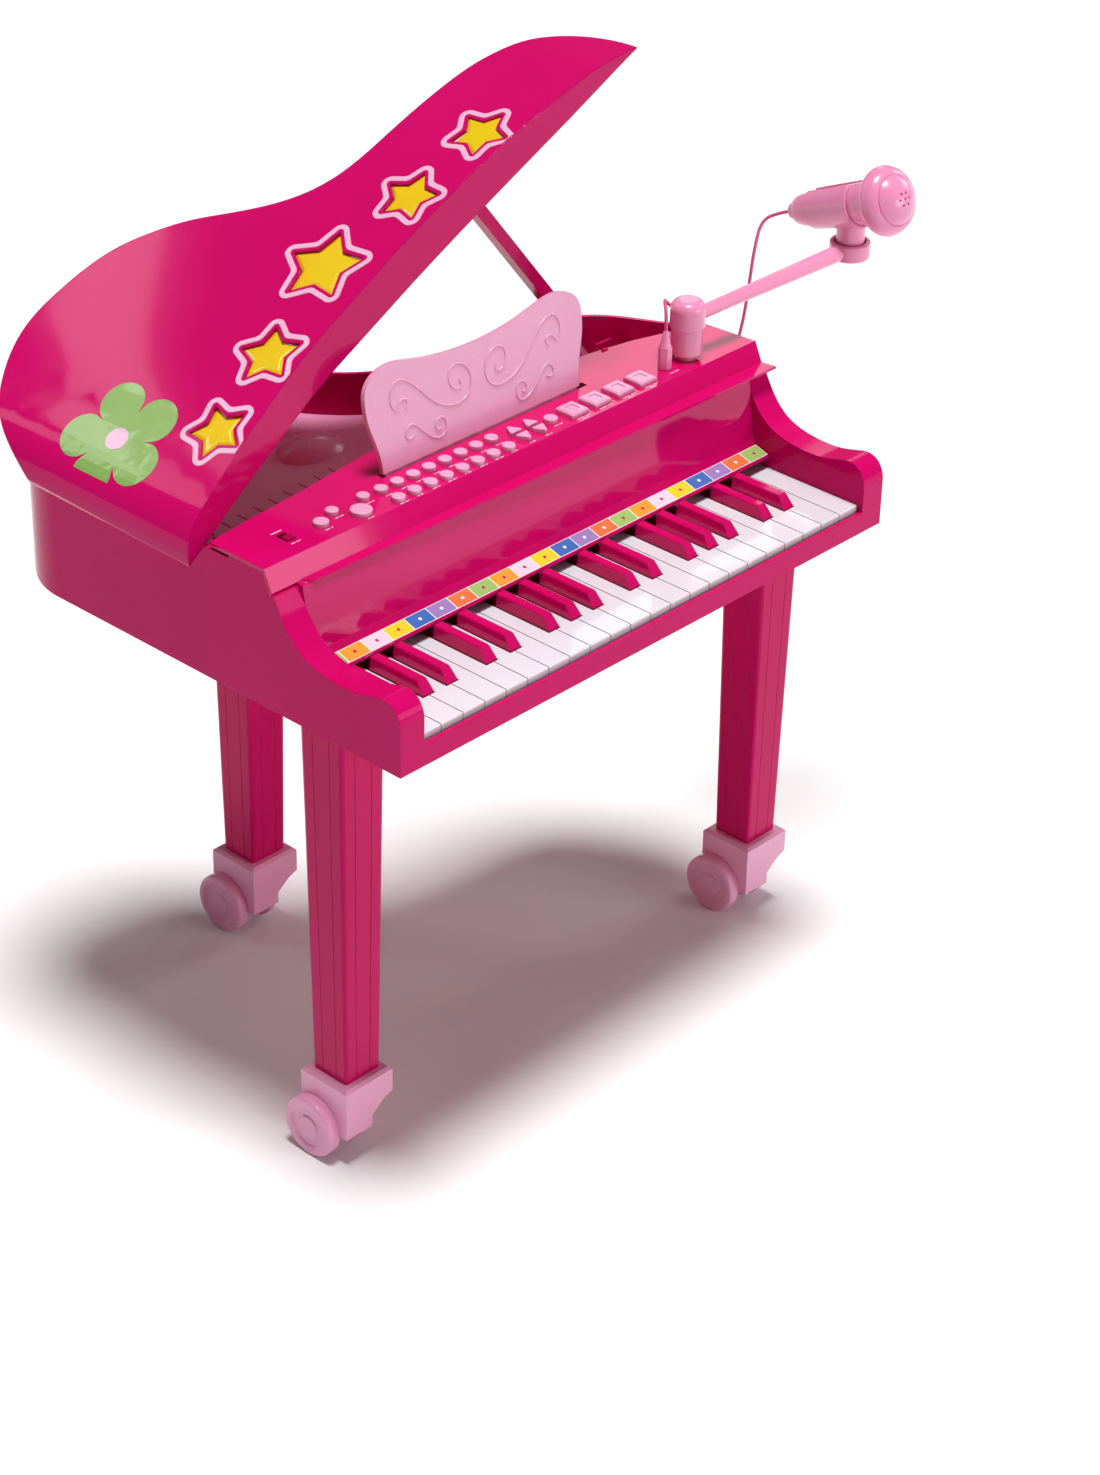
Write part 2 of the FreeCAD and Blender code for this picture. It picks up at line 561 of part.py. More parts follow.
def foot(x, y):
    """A moulded foot: a collar round the leg, a body under it and a pair of dummy wheels."""
    c = COLLAR
    top = box(x - c, x + c, y - c, y + c, COLLAR_END, COLLAR_Z)
    rims = [e for e in top.Edges if abs(e.CenterOfMass.z - COLLAR_Z) < 0.01]
    top = top.makeChamfer(2.2, rims)
    front = [(-c, COLLAR_END), (c, COLLAR_END), (14.2, -328), (2.6, -336.5), (2.6, BODY_END),
             (-c, BODY_END)]
    body = prism([V(x + a, y - c, z) for a, z in front], V(0, 2 * c, 0))
    tail = [(y - c - 1, BODY_END - 1), (y + c + 1, BODY_END - 1), (y + c + 1, COLLAR_END)]
    body = body.cut(side_prism(tail + [(y + c - 4, BODY_END)], x - 60, x + 60))
    yw = y + WHEEL_BACK
    axle = rod(V(x - c, yw, AXLE_Z), X_AXIS, c + 3, 7)
    pieces = [top, body, axle, wheel(x - c, yw, -1, 9.0, 3.0), wheel(x + 2.6, yw, 1, 5.5, 2.0)]
    return joined(pieces).cut(box(x - 60, x + 60, y - 60, y + 60, FLOOR - 10, FLOOR))


# ---- lid ---------------------------------------------------------------------------------
LID_FRONT = [(-26, 170), (0, 173), (38, 178), (81, 182), (111, 185), (138, 186), (162, 185.5),
             (215, 184), (240, 183), (290, 180), (343, 176), (395, 172), (429, 170), (455, 168)]
LID_BACK = [(455, 168), (451, 198), (440, 222), (425, 238), (405, 248.5), (382, 255.5),
            (357, 259), (332, 261.3), (307, 263.5), (282, 266.5), (261, 272), (242, 282),
            (228, 294), (216, 308), (202, 328), (184.5, 353), (167, 371), (148, 386),
            (124, 397), (100, 403), (73, 406), (47, 402), (22, 390), (2, 373), (-12, 353),
            (-24, 330)]
LID_LEFT = [(-24, 330), (-26, 170)]


def lid_point(s, y, n):
    """A point of the lid's frame, with the lid closed."""
    return V(HINGE.x + s, y, HINGE.z + n)


def lid_blank(inset, drop):
    """The closed lid's outer form, or the hollow inside it."""
    runs = [(LID_FRONT, True), (LID_BACK, True), (LID_LEFT, False)]
    face = outline_face(runs, inset, lambda s, y: lid_point(s, y, 0))
    column = face.extrude(V(0, 0, 45))
    camber = curve([lid_point(s, 0, n - drop) for s, n in LID_CAMBER])
    s0, n0 = LID_CAMBER[0]
    s1, n1 = LID_CAMBER[-1]
    low = [lid_point(s1, 0, n1 - drop), lid_point(s1, 0, -20 - drop), lid_point(s0, 0, -20 - drop),
           lid_point(s0, 0, n0 - drop)]
    lines = [Part.makeLine(a, b) for a, b in zip(low, low[1:])]
    under = Part.Face(Part.Wire([camber] + lines)).extrude(V(0, 500, 0))
    return column.common(under)


def camber_height(s):
    """Height of the lid's top over its lower rim."""
    for (s0, n0), (s1, n1) in zip(LID_CAMBER, LID_CAMBER[1:]):
        if s0 <= s <= s1:
            return n0 + (n1 - n0) * (s - s0) / (s1 - s0)
    return 0.0


def star(s, y, radius, turn, n0, n1):
    points = []
    for i in range(10):
        r = radius if i % 2 == 0 else radius * STAR_WAIST
        a = math.radians(turn + 36 * i)
        points.append(lid_point(s + r * math.cos(a), y + r * math.sin(a), n0))
    return prism(points, V(0, 0, n1 - n0))


def opened(shape):
    """The shape turned with the lid from closed to its propped pose."""
    turned = shape.copy()
    turned.rotate(HINGE, Y_AXIS, -LID_OPEN)
    return turned


def prop_tip(share, radius):
    """Where the prop's tip is in the lid's frame, as (s, n), when this share is folded."""
    angle = math.radians(PROP_REST + (PROP_FOLDED - PROP_REST) * share)
    lid = math.radians(LID_OPEN * (1 - share))
    x = PROP_PIVOT.x + radius * math.cos(angle) - HINGE.x
    z = PROP_PIVOT.z + radius * math.sin(angle) - HINGE.z
    return x * math.cos(lid) + z * math.sin(lid), z * math.cos(lid) - x * math.sin(lid)


TRACK_GAP = 0.4
TIP_R = 3.0


def prop_track():
    """A curved rib under the lid that the prop's tip slides along as the lid comes down."""
    path = [prop_tip(0.05 * i, PROP_LENGTH) for i in range(-1, 12)]
    lift = TIP_R + TRACK_GAP
    lower, upper = [], []
    for (s0, n0), (s1, n1) in zip(path, path[1:]):
        run = math.hypot(s1 - s0, n1 - n0)
        normal = ((n1 - n0) / run, -(s1 - s0) / run)
        lower.append((s0 + normal[0] * lift, n0 + normal[1] * lift))
        upper.append((s0 + normal[0] * (lift + 1.6), n0 + normal[1] * (lift + 1.6)))
    y = PROP_PIVOT.y
    band = [lid_point(s, y - 5, n) for s, n in lower]
    band += [lid_point(s, y - 5, n) for s, n in reversed(upper)]
    flange = prism(band, V(0, 10, 0))
    web = [lid_point(s, y - 1, n) for s, n in upper]
    web += [lid_point(upper[-1][0], y - 1, 40), lid_point(upper[0][0], y - 1, 40)]
    return joined([flange, prism(web, V(0, 2, 0))])


def lid():
    shell = lid_blank(0, 0)
    hollow = lid_blank(LID_SKIN, LID_SKIN)
    knuckles = []
    for y in HINGE_LUGS:
        for y0 in (y - 4.2, y + LUG + 0.4):
            knuckles.append(rod(V(HINGE.x, y0, HINGE.z), Y_AXIS, 3.8, 4.4))
            knuckles.append(box(HINGE.x - 3, HINGE.x + 4.2, y0, y0 + 3.8, HINGE.z, HINGE.z + 22))
    track = prop_track()
    inside = lid_blank(0.5, 0.5)
    extra = joined(knuckles + [track.common(box(-100, 600, 0, 500, HINGE.z, HINGE.z + 60))])
    below = extra.common(box(-100, 600, 0, 500, HINGE.z - 10, HINGE.z + 0.6))
    body = joined([shell.cut(hollow), extra.common(inside), below])
    pins = [rod(V(HINGE.x, y - 6, HINGE.z), Y_AXIS, LUG + 12, HINGE_PIN + 0.3) for y in HINGE_LUGS]
    windows = []
    for s, y, r, turn in STARS:
        windows.append(star(s, y, r, turn, camber_height(s) - 12, camber_height(s) + 8))
    return opened(body.cut(Part.makeCompound(pins + windows)))


def star_lenses():
    lenses = []
    track_zone = box(-100, 600, PROP_PIVOT.y - 6, PROP_PIVOT.y + 6, HINGE.z - 10, HINGE.z + 60)
    for s, y, r, turn in STARS:
        top = camber_height(s) - 2.2
        pane = star(s, y, r - LENS_GAP, turn, top - 8, top)
        under = lid_blank(0, 1.6)
        pane = pane.common(under)
        floor = lid_blank(0, LID_SKIN + 1.8)
        rim = star(s, y, r + 3.5, turn, top - 12, top)
        rim = rim.common(lid_blank(LID_SKIN + 0.2, LID_SKIN + 0.1)).cut(track_zone)
        lens = max(joined([pane, rim]).cut(floor).Solids, key=lambda solid: solid.Volume)
        lenses.append(opened(lens))
    return Part.makeCompound(lenses)


def lid_prop():
    """The prop lies along +X from its pivot, and is then turned up to its resting lean."""
    p = PROP_PIVOT
    half = PROP_WIDTH / 2
    thick = PROP_THICK / 2
    taper = p.x + PROP_LENGTH - PROP_TAPER
    side = [(p.x, thick), (taper, thick), (p.x + PROP_LENGTH, TIP_R), (p.x + PROP_LENGTH, -TIP_R),
            (taper, -thick), (p.x, -thick)]
    bar = prism([V(x, p.y - half, p.z + z) for x, z in side], V(0, PROP_WIDTH, 0))
    tip = rod(V(p.x + PROP_LENGTH, p.y - half, p.z), Y_AXIS, PROP_WIDTH, TIP_R)
    boss = rod(V(p.x, p.y - half, p.z), Y_AXIS, PROP_WIDTH, 6.0)
    pin = rod(V(p.x, p.y - 8.7, p.z), Y_AXIS, 17.4, 2.0)
    prop = joined([bar, tip, boss, pin])
    prop.rotate(p, Y_AXIS, -PROP_REST)
    return prop


# ---- music stand ---------------------------------------------------------------------------
STAND_LEAN = 9.0
STAND_FOOT = V(218.0, 156.0, RIM_TOP)
STAND_THICK = 3.6
STAND_HALF = [(96, 0), (96.2, 7), (98.4, 19), (101.8, 30), (104.2, 40), (105, 49), (104.4, 57),
              (101.5, 63.5), (96, 68.5), (88, 71.8), (78, 72.8), (66, 71.3), (52, 68.2),
              (36, 65.3), (18, 63.4), (0, 62.8)]


def music_stand():
    """A plate with a wavy top and a tab that drops into the panel's slot."""
    right = [V(x, 0, z) for x, z in STAND_HALF]
    left = [V(-x, 0, z) for x, z in reversed(STAND_HALF[:-1])]
    edges = [curve(right + left), Part.makeLine(left[-1], right[0])]
    plate = Part.Face(Part.Wire(edges)).extrude(V(0, STAND_THICK, 0))
    tab = box(-94, 94, 0.4, STAND_THICK - 0.4, -8.5, 0.5)
    stand = joined([plate, tab])
    stand.translate(V(0, -STAND_THICK / 2, 0))
    stand.rotate(V(0, 0, 0), X_AXIS, -STAND_LEAN)
    stand.translate(STAND_FOOT + V(0, 0, 0.9))
    return stand


# ---- microphone, its arm, its plug and its cord ----------------------------------------------
TILT = math.radians(MIC_TILT)
YAW = math.radians(MIC_YAW)
MIC_AXIS = V(-math.sin(YAW) * math.cos(TILT), -math.cos(YAW) * math.cos(TILT), math.sin(TILT))
MIC_SIDE = MIC_AXIS.cross(Z_AXIS).normalize()
MIC_UP = MIC_SIDE.cross(MIC_AXIS)
CAP_LOW = 106.5
CAP_TOP = 127.0
CAP_R = 12.7
POST_R = 11.4
POST_FOOT_R = 6.8
POST_FOOT = 4.6
NECK_R = 6.0
ARM_Z = 107.5
ARM_R0 = 4.7
ARM_R1 = 6.4
CUP_BORE = 12.6
CUP_TEETH = 20
PIN_R = 3.9
STUB_R = 10.6
SLEEVE_REAR = -39.0
SLEEVE_FRONT = 9.0


def mic_post():
    foot = rod(POST, Z_AXIS, POST_FOOT, POST_FOOT_R)
    column = rod(POST + V(0, 0, POST_FOOT - 0.2), Z_AXIS, CAP_LOW - 0.4 - RIM_TOP - POST_FOOT + 0.2,
                 POST_R)
    column = column.makeFillet(0.8, [e for e in column.Edges if e.Length > 60])
    neck = rod(V(POST.x, POST.y, CAP_LOW - 2), Z_AXIS, 12, NECK_R)
    return joined([foot, column, neck])


def mic_arm():
    """A round-topped cap, a bar that thickens outwards, and a toothed cup at its end."""
    cap = rod(V(POST.x, POST.y, CAP_LOW), Z_AXIS, CAP_TOP - CAP_LOW, CAP_R)
    cap = cap.makeFillet(6.5, [e for e in cap.Edges if e.CenterOfMass.z > CAP_TOP - 0.1])
    cap = cap.makeFillet(0.6, [e for e in cap.Edges if e.CenterOfMass.z < CAP_LOW + 0.1
                               and e.Length > 60])
    socket = rod(V(POST.x, POST.y, CAP_LOW - 1), Z_AXIS, 11.6, NECK_R + 0.3)
    start = V(POST.x, POST.y, ARM_Z + ARM_R0)
    run = RING - start
    bar = cone(start, run, run.Length - RING_R + 2.0, ARM_R0, ARM_R1)
    bar = bar.cut(box(380, 430, 110, 160, 80, CAP_LOW))
    cup = rod(RING - V(0, 0, RING_HALF), Z_AXIS, 2 * RING_HALF, RING_R)
    cup = cup.makeFillet(1.6, [e for e in cup.Edges if e.Length > 60])
    arm = joined([cap, bar, cup]).cut(socket)
    arm = arm.cut(rod(RING - V(0, 0, RING_HALF - 2.2), Z_AXIS, 2 * RING_HALF, CUP_BORE))
    arm = arm.cut(rod(RING - V(0, 0, RING_HALF + 1), Z_AXIS, 5, PIN_R + 0.4))
    teeth = []
    for i in range(CUP_TEETH):
        turn = 360.0 / CUP_TEETH * i
        tooth = box(CUP_BORE - 0.9, CUP_BORE + 0.8, -0.8, 0.8, RING_HALF - 4.0, RING_HALF - 0.6)
        tooth.rotate(V(0, 0, 0), Z_AXIS, turn)
        tooth.translate(RING)
        teeth.append(tooth)
    return joined([arm] + teeth)


def mic_clip():
    """A sleeve, open along its top, on a stub that turns in the arm's cup."""
    start = MIC_CENTRE + MIC_AXIS * SLEEVE_REAR
    sleeve = cone(start, MIC_AXIS, SLEEVE_FRONT - SLEEVE_REAR, 14.9, 17.9)
    sleeve = sleeve.makeFillet(0.7, [e for e in sleeve.Edges if e.Length > 60])
    floor_z = RING.z - RING_HALF + 2.5
    stub = rod(V(RING.x, RING.y, floor_z), Z_AXIS, MIC_CENTRE.z - floor_z, STUB_R)
    pin = rod(V(RING.x, RING.y, RING.z - RING_HALF - 1.0), Z_AXIS, 5, PIN_R)
    head = cone(V(RING.x, RING.y, RING.z - RING_HALF - 2.6), Z_AXIS, 2.1, 4.2, 5.4)
    bore = cone(MIC_CENTRE + MIC_AXIS * -74, MIC_AXIS, 160, 11.35, 19.9)
    mouth = []
    for t, half in ((SLEEVE_REAR - 1, 4.0), (SLEEVE_FRONT + 1, 8.5)):
        at = MIC_CENTRE + MIC_AXIS * t
        mouth.append(polygon([at + MIC_SIDE * side * half + MIC_UP * up
                              for side, up in ((-1, 6), (1, 6), (1, 30), (-1, 30))]))
    mouth = Part.makeLoft(mouth, True, True)
    return joined([sleeve, stub, pin, head]).cut(bore).cut(mouth)


def mic_radius(t):
    """Body radius at this distance along the microphone's axis, 0.35 under the sleeve's bore."""
    return 11.35 + (19.9 - 11.35) * (t + 74) / 160 - 0.35


MIC_TAIL = -64.2
MIC_APEX = 54.3
RIM_T = 34.1
RIM_R = 25.7
DOME_T = 46.0
DOME_R = 18.1
HEAD_HOLES = [(0.0, 0.0)] + [(4.7, 60 * i) for i in range(6)]


def microphone():
    """A body of revolution about the microphone's axis: tail cap, barrel, rim and dome."""
    tail = [(MIC_TAIL, 0), (MIC_TAIL, 4.6), (MIC_TAIL + 1.4, 6.2), (-58.5, 6.8), (-58, 8.2),
            (-55, 10.6), (-50.5, 11.9), (-45, mic_radius(-45)), (27, mic_radius(27)),
            (30.2, 18.6), (31.0, 23.4), (32.0, 24.9)]

    def spot(t, r):
        return MIC_CENTRE + MIC_AXIS * t + MIC_UP * r

    edges = [Part.makeLine(spot(*a), spot(*b)) for a, b in zip(tail, tail[1:])]
    edges.append(Part.Arc(spot(*tail[-1]), spot(RIM_T, RIM_R), spot(37.6, 25.1)).toShape())
    edges.append(Part.Arc(spot(37.6, 25.1), spot(42.6, 22.5), spot(45.2, 19.0)).toShape())
    edges.append(Part.makeLine(spot(45.2, 19.0), spot(45.0, DOME_R)))
    edges.append(Part.makeLine(spot(45.0, DOME_R), spot(DOME_T, DOME_R)))
    rise = MIC_APEX - DOME_T
    ball = (DOME_R ** 2 + rise ** 2) / (2 * rise)
    half = math.asin(DOME_R / ball) / 2
    middle = spot(MIC_APEX - ball * (1 - math.cos(half)), ball * math.sin(half))
    edges.append(Part.Arc(spot(DOME_T, DOME_R), middle, spot(MIC_APEX, 0)).toShape())
    edges.append(Part.makeLine(spot(MIC_APEX, 0), spot(MIC_TAIL, 0)))
    solid = Part.Face(Part.Wire(edges)).revolve(MIC_CENTRE, MIC_AXIS, 360)
    holes = []
    for r, turn in HEAD_HOLES:
        a = math.radians(turn)
        at = MIC_CENTRE + MIC_SIDE * (r * math.cos(a)) + MIC_UP * (r * math.sin(a))
        holes.append(rod(at + MIC_AXIS * (MIC_APEX - 6), MIC_AXIS, 12, 0.9))
    return solid.cut(Part.makeCompound(holes))


PLUG_GRIP = 17.0
PLUG_NOSE = 12.0


def mic_plug():
    pin = rod(PLUG - V(0, 0, 12), Z_AXIS, 13, 2.6)
    hexagon = [(PLUG.x + 5.0 * math.cos(math.radians(60 * i)),
                PLUG.y + 5.0 * math.sin(math.radians(60 * i))) for i in range(6)]
    grip = plan_prism(hexagon, PLUG.z + 0.4, PLUG.z + PLUG_GRIP)
    nose = cone(PLUG + V(0, 0, PLUG_GRIP), Z_AXIS, PLUG_NOSE, 4.3, 1.7)
    return joined([pin, grip, nose])


def cord_path(route):
    """Straight runs joined by tangent arcs, and the radius of each arc."""
    points = [V(*p) for p in route]
    edges, radii = [], []
    start = points[0]
    for before, corner, after in zip(points, points[1:], points[2:]):
        back, ahead = (before - corner), (after - corner)
        shorter = min(back.Length, ahead.Length)
        back.normalize()
        ahead.normalize()
        turn = math.pi - back.getAngle(ahead)
        cut = 0.45 * shorter
        radius = cut / math.tan(turn / 2)
        radii.append(radius)
        entry, leave = corner + back * cut, corner + ahead * cut
        inward = back + ahead
        inward.normalize()
        centre = corner + inward * (radius / math.cos(turn / 2))
        middle = centre - inward * radius
        edges.append(Part.LineSegment(start, entry).toShape())
        edges.append(Part.Arc(entry, middle, leave).toShape())
        start = leave
    edges.append(Part.LineSegment(start, points[-1]).toShape())
    return Part.Wire(edges), radii


def mic_cord():
    path, radii = cord_path(CORD_ROUTE)
    first = V(*CORD_ROUTE[0])
    direction = V(*CORD_ROUTE[1]) - first
    section = Part.Wire(Part.makeCircle(CORD_D / 2, first, direction))
    tube = path.makePipeShell([section], True, False)
    expected = math.pi * (CORD_D / 2) ** 2 * path.Length
    print("cord length %.1f, volume %.1f of %.1f" % (path.Length, tube.Volume, expected))
    print("cord radii", ["%.0f" % r for r in radii], "at least", 3 * CORD_D)
    return tube


# ---- write every piece -------------------------------------------------------------------------
def pieces():
    parts = {
        "case_shell": case_shell(),
        "base_plate": base_plate(),
        "control_panel": control_panel(),
        "soundboard": soundboard(),
        "legs": Part.makeCompound([leg(x, y) for x, y in LEGS]),
        "caster_feet": Part.makeCompound([foot(x, y) for x, y in LEGS]),
        "speaker": speaker(),
        "circuit_boards": circuit_boards(),
        "battery_door": battery_door(),
        "round_buttons": round_buttons(),
        "arrow_buttons": arrow_buttons(),
        "square_buttons": square_buttons(),
        "power_switch": power_switch(),
        "lid": lid(),
        "star_lenses": star_lenses(),
        "lid_prop": lid_prop(),
        "music_stand": music_stand(),
        "mic_post": mic_post(),
        "mic_arm": mic_arm(),
        "mic_clip": mic_clip(),
        "microphone": microphone(),
        "mic_plug": mic_plug(),
        "mic_cord": mic_cord(),
    }
    for i in range(WHITE_COUNT):
        parts["white_key_%02d" % (i + 1)] = white_key(i)
    centres = [black_centre(i) for i in range(WHITE_COUNT)]
    for i, centre in enumerate(c for c in centres if c is not None):
        parts["black_key_%02d" % (i + 1)] = black_key(centre)
    return parts


def main():
    os.makedirs("parts", exist_ok=True)
    whole = FreeCAD.BoundBox()
    for name, shape in pieces().items():
        shape.translate(ORIGIN * -1)
        shape.exportStep("parts/%s.step" % name)
        valid = all(s.isValid() for s in shape.Solids)
        print("%-16s solids %2d valid %s volume %.0f" % (name, len(shape.Solids), valid,
                                                         shape.Volume))
        if name != "mic_cord" and name != "mic_plug":
            whole.add(shape.BoundBox)
    print("box", whole)


main()
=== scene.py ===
import bpy
import bmesh
import math
from mathutils import Matrix, Vector
from mathutils.bvhtree import BVHTree
from mathutils.geometry import delaunay_2d_cdt


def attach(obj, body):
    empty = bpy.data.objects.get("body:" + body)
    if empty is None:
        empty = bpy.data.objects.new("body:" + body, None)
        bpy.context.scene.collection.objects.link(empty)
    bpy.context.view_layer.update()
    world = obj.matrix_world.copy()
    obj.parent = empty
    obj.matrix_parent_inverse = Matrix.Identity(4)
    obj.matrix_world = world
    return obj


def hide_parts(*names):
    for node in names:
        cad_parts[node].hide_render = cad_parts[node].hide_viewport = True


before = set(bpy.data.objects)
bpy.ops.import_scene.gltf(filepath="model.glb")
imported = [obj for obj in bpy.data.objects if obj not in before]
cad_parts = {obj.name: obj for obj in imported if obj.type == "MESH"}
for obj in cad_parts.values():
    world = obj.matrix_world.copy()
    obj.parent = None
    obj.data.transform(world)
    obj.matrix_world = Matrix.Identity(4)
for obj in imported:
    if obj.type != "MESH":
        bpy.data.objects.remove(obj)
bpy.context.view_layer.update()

# The part is laid out in millimetres from the keyboard: X from the left cheek, Y from the
# white keys' front edge, Z up from the white keys' top. ORIGIN is where the frame's origin
# lies in that layout.
ORIGIN = (278.54, 200.5, -368.0)
MM = 0.001


def at(x, y, z):
    """A point of the keyboard's layout, in the frame's metres."""
    return Vector(((x - ORIGIN[0]) * MM, (y - ORIGIN[1]) * MM, (z - ORIGIN[2]) * MM))


def show(name, data):
    """An object of its own for a mesh, a curve, a lamp or a camera."""
    made = bpy.data.objects.new(name, data)
    bpy.context.collection.objects.link(made)
    return made


# ---- camera --------------------------------------------------------------------------------
LENS = 85.78
SENSOR_WIDTH = 36.0
CLIP_END = 100.0
CAMERA_SPOT = (-1337.84, -1330.83, 1158.75)
LOOK = Vector((0.62983, 0.57391, -0.52339))
RIGHT = Vector((0.68220, -0.73090, 0.01948))


def stand_camera():
    """One camera, out to the toy's front left and above it."""
    lens = bpy.data.cameras.new("camera")
    lens.sensor_width = SENSOR_WIDTH
    lens.lens = LENS
    lens.clip_end = CLIP_END
    camera = show("camera", lens)
    turn = Matrix((RIGHT, RIGHT.cross(LOOK), -LOOK)).transposed().to_4x4()
    camera.matrix_world = Matrix.Translation(at(*CAMERA_SPOT)) @ turn
    bpy.context.scene.camera = camera


stand_camera()


# ---- materials -----------------------------------------------------------------------------
# Each noise is a scale, in the object's own metres, and a detail. Depths and radii are metres.
CLOUD = (9.0, 4.0)
SMEAR = (28.0, 5.0)
SMEAR_TWIST = 0.6
GRAIN = (900.0, 3.0)
GRAIN_DEPTH = 0.00004
GRAIN_STRENGTH = 0.35
GLOSS_SPREAD = (0.9, 1.15)
TONE_STOPS = (0.32, 0.68)
COAT_ROUGH = 0.04
SCATTER_DEPTH = 0.004
SOFT_EDGE = 0.0006
EDGE_SAMPLES = 4
NEUTRAL = (1.0, 1.0, 1.0)


def material(name):
    """A new material: itself, its nodes, its links and its Principled shader."""
    made = bpy.data.materials.new(name)
    made.use_nodes = True
    nodes = made.node_tree.nodes
    return made, nodes, made.node_tree.links, nodes["Principled BSDF"]


def plastic(name, tone, deep, rough, coat, edge=SOFT_EDGE, scatter=0.0, specular=0.5,
            gloss_tint=NEUTRAL, metal=0.0):
    """Two close tones, slightly uneven gloss, a very fine grain and soft edges."""
    made, nodes, links, shader = material(name)
    shader.inputs["Metallic"].default_value = metal
    shader.inputs["Coat Weight"].default_value = coat
    shader.inputs["Coat Roughness"].default_value = COAT_ROUGH
    shader.inputs["Specular IOR Level"].default_value = specular
    shader.inputs["Specular Tint"].default_value = (*gloss_tint, 1.0)
    if scatter:
        shader.inputs["Subsurface Weight"].default_value = scatter
        shader.inputs["Subsurface Scale"].default_value = SCATTER_DEPTH
    place = nodes.new("ShaderNodeTexCoord")

    def noise(scale, detail):
        texture = nodes.new("ShaderNodeTexNoise")
        texture.inputs["Scale"].default_value = scale
        texture.inputs["Detail"].default_value = detail
        links.new(place.outputs["Object"], texture.inputs["Vector"])
        return texture

    cloud = noise(*CLOUD)
    ramp = nodes.new("ShaderNodeValToRGB")
    for element, stop, colour in zip(ramp.color_ramp.elements, TONE_STOPS, (deep, tone)):
        element.position = stop
        element.color = (*colour, 1)
    links.new(cloud.outputs["Fac"], ramp.inputs["Fac"])
    links.new(ramp.outputs["Color"], shader.inputs["Base Color"])
    smear = noise(*SMEAR)
    smear.inputs["Distortion"].default_value = SMEAR_TWIST
    gloss = nodes.new("ShaderNodeMapRange")
    gloss.inputs["To Min"].default_value = rough * GLOSS_SPREAD[0]
    gloss.inputs["To Max"].default_value = rough * GLOSS_SPREAD[1]
    links.new(smear.outputs["Fac"], gloss.inputs["Value"])
    links.new(gloss.outputs["Result"], shader.inputs["Roughness"])
    grain = noise(*GRAIN)
    bump = nodes.new("ShaderNodeBump")
    bump.inputs["Strength"].default_value = GRAIN_STRENGTH
    bump.inputs["Distance"].default_value = GRAIN_DEPTH
    links.new(grain.outputs["Fac"], bump.inputs["Height"])
    if edge:
        soft = nodes.new("ShaderNodeBevel")
        soft.samples = EDGE_SAMPLES
        soft.inputs["Radius"].default_value = edge
        links.new(soft.outputs["Normal"], bump.inputs["Normal"])
    links.new(bump.outputs["Normal"], shader.inputs["Normal"])
    return made


WARM = (1.0, 0.35, 0.62)
HOT = plastic("hot_pink_gloss", (0.63, 0.003, 0.132), (0.59, 0.002, 0.118), rough=0.10, coat=0.04,
              specular=0.12, gloss_tint=WARM)
LID = plastic("lid_pink_gloss", (0.64, 0.003, 0.136), (0.60, 0.002, 0.122), rough=0.07, coat=0.20,
              edge=0.0016, specular=0.12, gloss_tint=WARM)
PANEL = plastic("panel_pink_mirror", (0.66, 0.003, 0.138), (0.62, 0.002, 0.125), rough=0.05,
                coat=0.25, specular=0.3, gloss_tint=WARM)
SHARP = plastic("sharp_key_pink", (0.62, 0.004, 0.125), (0.57, 0.003, 0.11), rough=0.10, coat=0.4,
                specular=0.3, gloss_tint=WARM)
LEG = plastic("leg_pink", (0.62, 0.005, 0.125), (0.57, 0.004, 0.11), rough=0.16, coat=0.04,
              specular=0.14, gloss_tint=WARM)
PALE = plastic("pale_pink_satin", (0.84, 0.385, 0.59), (0.81, 0.355, 0.565), rough=0.26, coat=0.3,
               scatter=0.08)
# Feet: their own satin pink, painted lighter as fill light for the shade they stand in under the
# body.
FOOT_AND_PAINTED_FILL = plastic("foot_pink_satin_painted_fill", (0.91, 0.40, 0.60), (0.88, 0.37, 0.57), rough=0.28, coat=0.3,
               scatter=0.08)
MIC = plastic("microphone_pink", (0.90, 0.31, 0.52), (0.87, 0.28, 0.49), rough=0.24, coat=0.35,
              scatter=0.08)
WHITE = plastic("white_key_gloss", (0.78, 0.77, 0.81), (0.74, 0.73, 0.78), rough=0.12, coat=0.6,
                scatter=0.05)
YELLOW = plastic("star_yellow", (0.90, 0.66, 0.004), (0.86, 0.52, 0.003), rough=0.14, coat=0.7,
                 scatter=0.25)
BASE = plastic("base_pink_matt", (0.50, 0.006, 0.09), (0.44, 0.005, 0.075), rough=0.40, coat=0.0)
# Soundboard: the pale satin pink painted lighter, a painted fill light for the shade under the open
# lid.
DECK_PAINTED_FILL = plastic("soundboard_pink_painted_fill", (0.93, 0.40, 0.66), (0.91, 0.37, 0.63), rough=0.26, coat=0.2,
               scatter=0.08)
BOARD = plastic("board_green", (0.02, 0.14, 0.05), (0.015, 0.10, 0.04), rough=0.4, coat=0.1,
                edge=0)
CONE = plastic("speaker_black", (0.02, 0.02, 0.022), (0.012, 0.012, 0.014), rough=0.6, coat=0.0,
               edge=0)
CORD = plastic("cord_pink_soft", (0.74, 0.12, 0.31), (0.68, 0.09, 0.27), rough=0.40, coat=0.0,
               edge=0)
BAND = plastic("star_band_pink", (0.90, 0.50, 0.70), (0.87, 0.46, 0.66), rough=0.22, coat=0.4,
               edge=0)
GREEN = plastic("flower_green", (0.27, 0.46, 0.105), (0.24, 0.42, 0.09), rough=0.20, coat=0.5,
                edge=0)
PRINT = plastic("print_pale", (0.90, 0.62, 0.76), (0.86, 0.55, 0.70), rough=0.35, coat=0.1, edge=0)
STEEL = plastic("screw_steel", (0.48, 0.48, 0.50), (0.38, 0.38, 0.40), rough=0.32, coat=0.0,
                edge=0.0002, metal=1.0)
